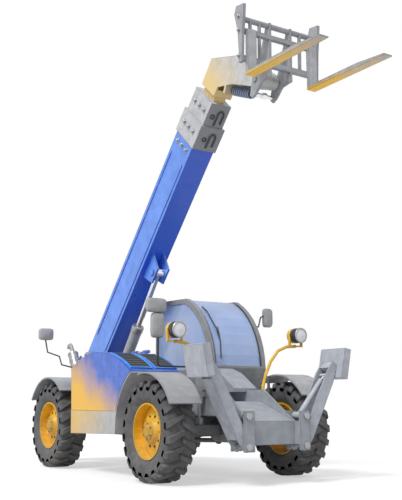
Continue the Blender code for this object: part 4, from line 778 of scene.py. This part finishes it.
shape = bmesh.new()
level = Matrix.Identity(3)
cushion(shape, Vector((seat_mid, low.y + 0.26, low.z + 0.37)), (0.235, 0.245, 0.055), level, 4)
lean = Matrix.Rotation(math.radians(83), 3, "X")
cushion(shape, Vector((seat_mid, high.y - 0.10, low.z + 0.70)), (0.22, 0.30, 0.055), lean, 5)
pads = mesh_piece("seat_pads", shape, 60)
finished(pads, "chassis", fabric, ["seat"])
shape = bmesh.new()
pedestal = [(0.0, 0.0), (0.17, 0.0), (0.17, 0.03), (0.12, 0.06), (0.105, 0.12), (0.12, 0.18), (0.105, 0.24),
            (0.17, 0.30), (0.17, 0.315), (0.0, 0.315)]
turned_into(shape, pedestal, facing((seat_mid, low.y + 0.25, low.z), (0, 0, 1)), 32)
finished(mesh_piece("seat_pedestal", shape), "chassis", black_plastic)

# ---------------------------------------------------------------- lamps
# Round work lamps: a dark moulded housing, a bright bezel and a ribbed clear lens.
# Each is clamped to a curved steel arm in yellow paint.
arm_yellow = finish("arm yellow", (0.92, 0.55, 0.05), 0.4, mottle=0.12, dust=0.1, coat=0.2)
lens_white = finish("lamp lens", (0.88, 0.89, 0.90), 0.15, mottle=0.06, grain=60, edge_shade=0, dust=0,
                    coat=0.8)
LENS_RINGS = 10
for side, label in ((-1, "right"), (1, "left")):
    dress(arm_yellow, "lamp_" + label)
    low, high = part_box("lamp_" + label)
    lamp_x = low.x + 0.11 if side < 0 else high.x - 0.11
    centre = Vector((lamp_x, (low.y + high.y) / 2 - 0.02, high.z - 0.10))
    forward = facing(centre, (0, -1, 0))
    shape = bmesh.new()
    housing = [(0.0, -0.082), (0.045, -0.080), (0.085, -0.060), (0.1015, -0.03), (0.1015, 0.070),
               (0.096, 0.081), (0.0, 0.081)]
    turned_into(shape, housing, forward, 36)
    finished(mesh_piece("lamp_housing_" + label, shape), "chassis", black_plastic)
    shape = bmesh.new()
    # each second ring stands out, which ribs the lens
    rings = [(0.086 - 0.0086 * k, 0.084 + 0.0012 * k + 0.002 * (k % 2)) for k in range(1, LENS_RINGS)]
    turned_into(shape, [(0.086, 0.082), *rings, (0.0, 0.096)], forward, 36)
    finished(mesh_piece("lamp_lens_" + label, shape), "chassis", lens_white)
    shape = bmesh.new()
    bezel = [(0.084, 0.079), (0.102, 0.079), (0.102, 0.088), (0.096, 0.094), (0.088, 0.092)]
    turned_into(shape, bezel, forward, 36)
    finished(mesh_piece("lamp_bezel_" + label, shape), "chassis", bolt_steel)

# ---------------------------------------------------------------- mirrors
# Moulded dark housings, each with a flat mirror that faces back to the driver.
# They are clamped to posts of bent steel tube.
mirror_paint = finish("mirror housing grey", (0.42, 0.43, 0.44), 0.5, mottle=0.1, edge_width=0.008,
                      dust=0)
silver = finish("mirror silver", (0.85, 0.87, 0.9), 0.06, metallic=1.0, mottle=0.02, edge_shade=0, dust=0,
                bump=0.0)
# bent tubes: the node each stands for, its radius and its route in the machine's axes
POSTS = (
    ("mirrors_right_front", 0.013,
     ((-0.345, -1.14, 1.1303), (-0.345, -1.14, 1.39), (-0.39, -1.14, 1.43), (-0.79, -1.14, 1.43),
      (-0.82, -1.14, 1.46), (-0.82, -1.14, 2.30))),
    ("mirror_right_rear", 0.011,
     ((-1.1203, 0.745, 1.46), (-1.16, 0.745, 1.46), (-1.33, 0.78, 1.50), (-1.36, 0.80, 1.62),
      (-1.52, 0.86, 1.68), (-1.56, 0.875, 1.90))),
    ("mirror_left", 0.012,
     ((1.1003, -0.655, 2.06), (1.16, -0.655, 2.06), (1.20, -0.655, 2.20), (1.30, -0.655, 2.25))),
)
for name, radius, route in POSTS:
    points = [ROOT + Vector(place) for place in route]
    finished(tube(name + "_post", points, radius, 4), "chassis", black_plastic, [name])
# name, centre in the machine's axes, width, height
MIRRORS = (
    ("wide_right", (-0.85, -1.14, 2.22), 0.30, 0.19), ("tall_right", (-0.83, -1.14, 1.96), 0.19, 0.33),
    ("rear_right", (-1.54, 0.88, 1.94), 0.22, 0.17), ("left", (1.33, -0.655, 2.20), 0.16, 0.28),
)
# depth from the mirror's middle, share of the full outline
HOUSING = (
    (0.030, 0.93), (0.027, 1.0), (-0.005, 1.0), (-0.030, 0.90), (-0.044, 0.60), (-0.046, 0.0),
)
FACE_DEPTHS = (0.030, 0.0315)
MIRROR_STEPS = 32


def mirror_ring(shape, centre, depth, half_width, half_height):
    """A ring of points round a rectangle with large soft corners."""
    ring = []
    for i in range(MIRROR_STEPS):
        t = 2 * math.pi * i / MIRROR_STEPS
        x = math.copysign(abs(math.cos(t)) ** 0.42, math.cos(t)) * half_width
        z = math.copysign(abs(math.sin(t)) ** 0.42, math.sin(t)) * half_height
        ring.append(shape.verts.new(centre + Vector((x, depth, z))))
    return ring


for name, place, width, height in MIRRORS:
    centre = ROOT + Vector(place)
    shape = bmesh.new()
    rings = []
    for depth, share in HOUSING:
        if share == 0.0:
            rings.append([shape.verts.new(centre + Vector((0, depth, 0)))])
            continue
        rings.append(mirror_ring(shape, centre, depth, width / 2 * share, height / 2 * share))
    for a, b in zip(rings, rings[1:]):
        for i in range(MIRROR_STEPS):
            j = (i + 1) % MIRROR_STEPS
            corners = list(dict.fromkeys([a[i % len(a)], a[j % len(a)], b[j % len(b)], b[i % len(b)]]))
            shape.faces.new(corners)
    shape.faces.new(rings[0])
    finished(mesh_piece("mirror_housing_" + name, shape, 40), "chassis", mirror_paint)
    shape = bmesh.new()
    back, front = [mirror_ring(shape, centre, depth, width * 0.44, height * 0.43)
                   for depth in FACE_DEPTHS]
    for i in range(MIRROR_STEPS):
        j = (i + 1) % MIRROR_STEPS
        shape.faces.new((back[i], back[j], front[j], front[i]))
    shape.faces.new(back)
    shape.faces.new(front)
    finished(mesh_piece("mirror_face_" + name, shape, 40), "chassis", silver)
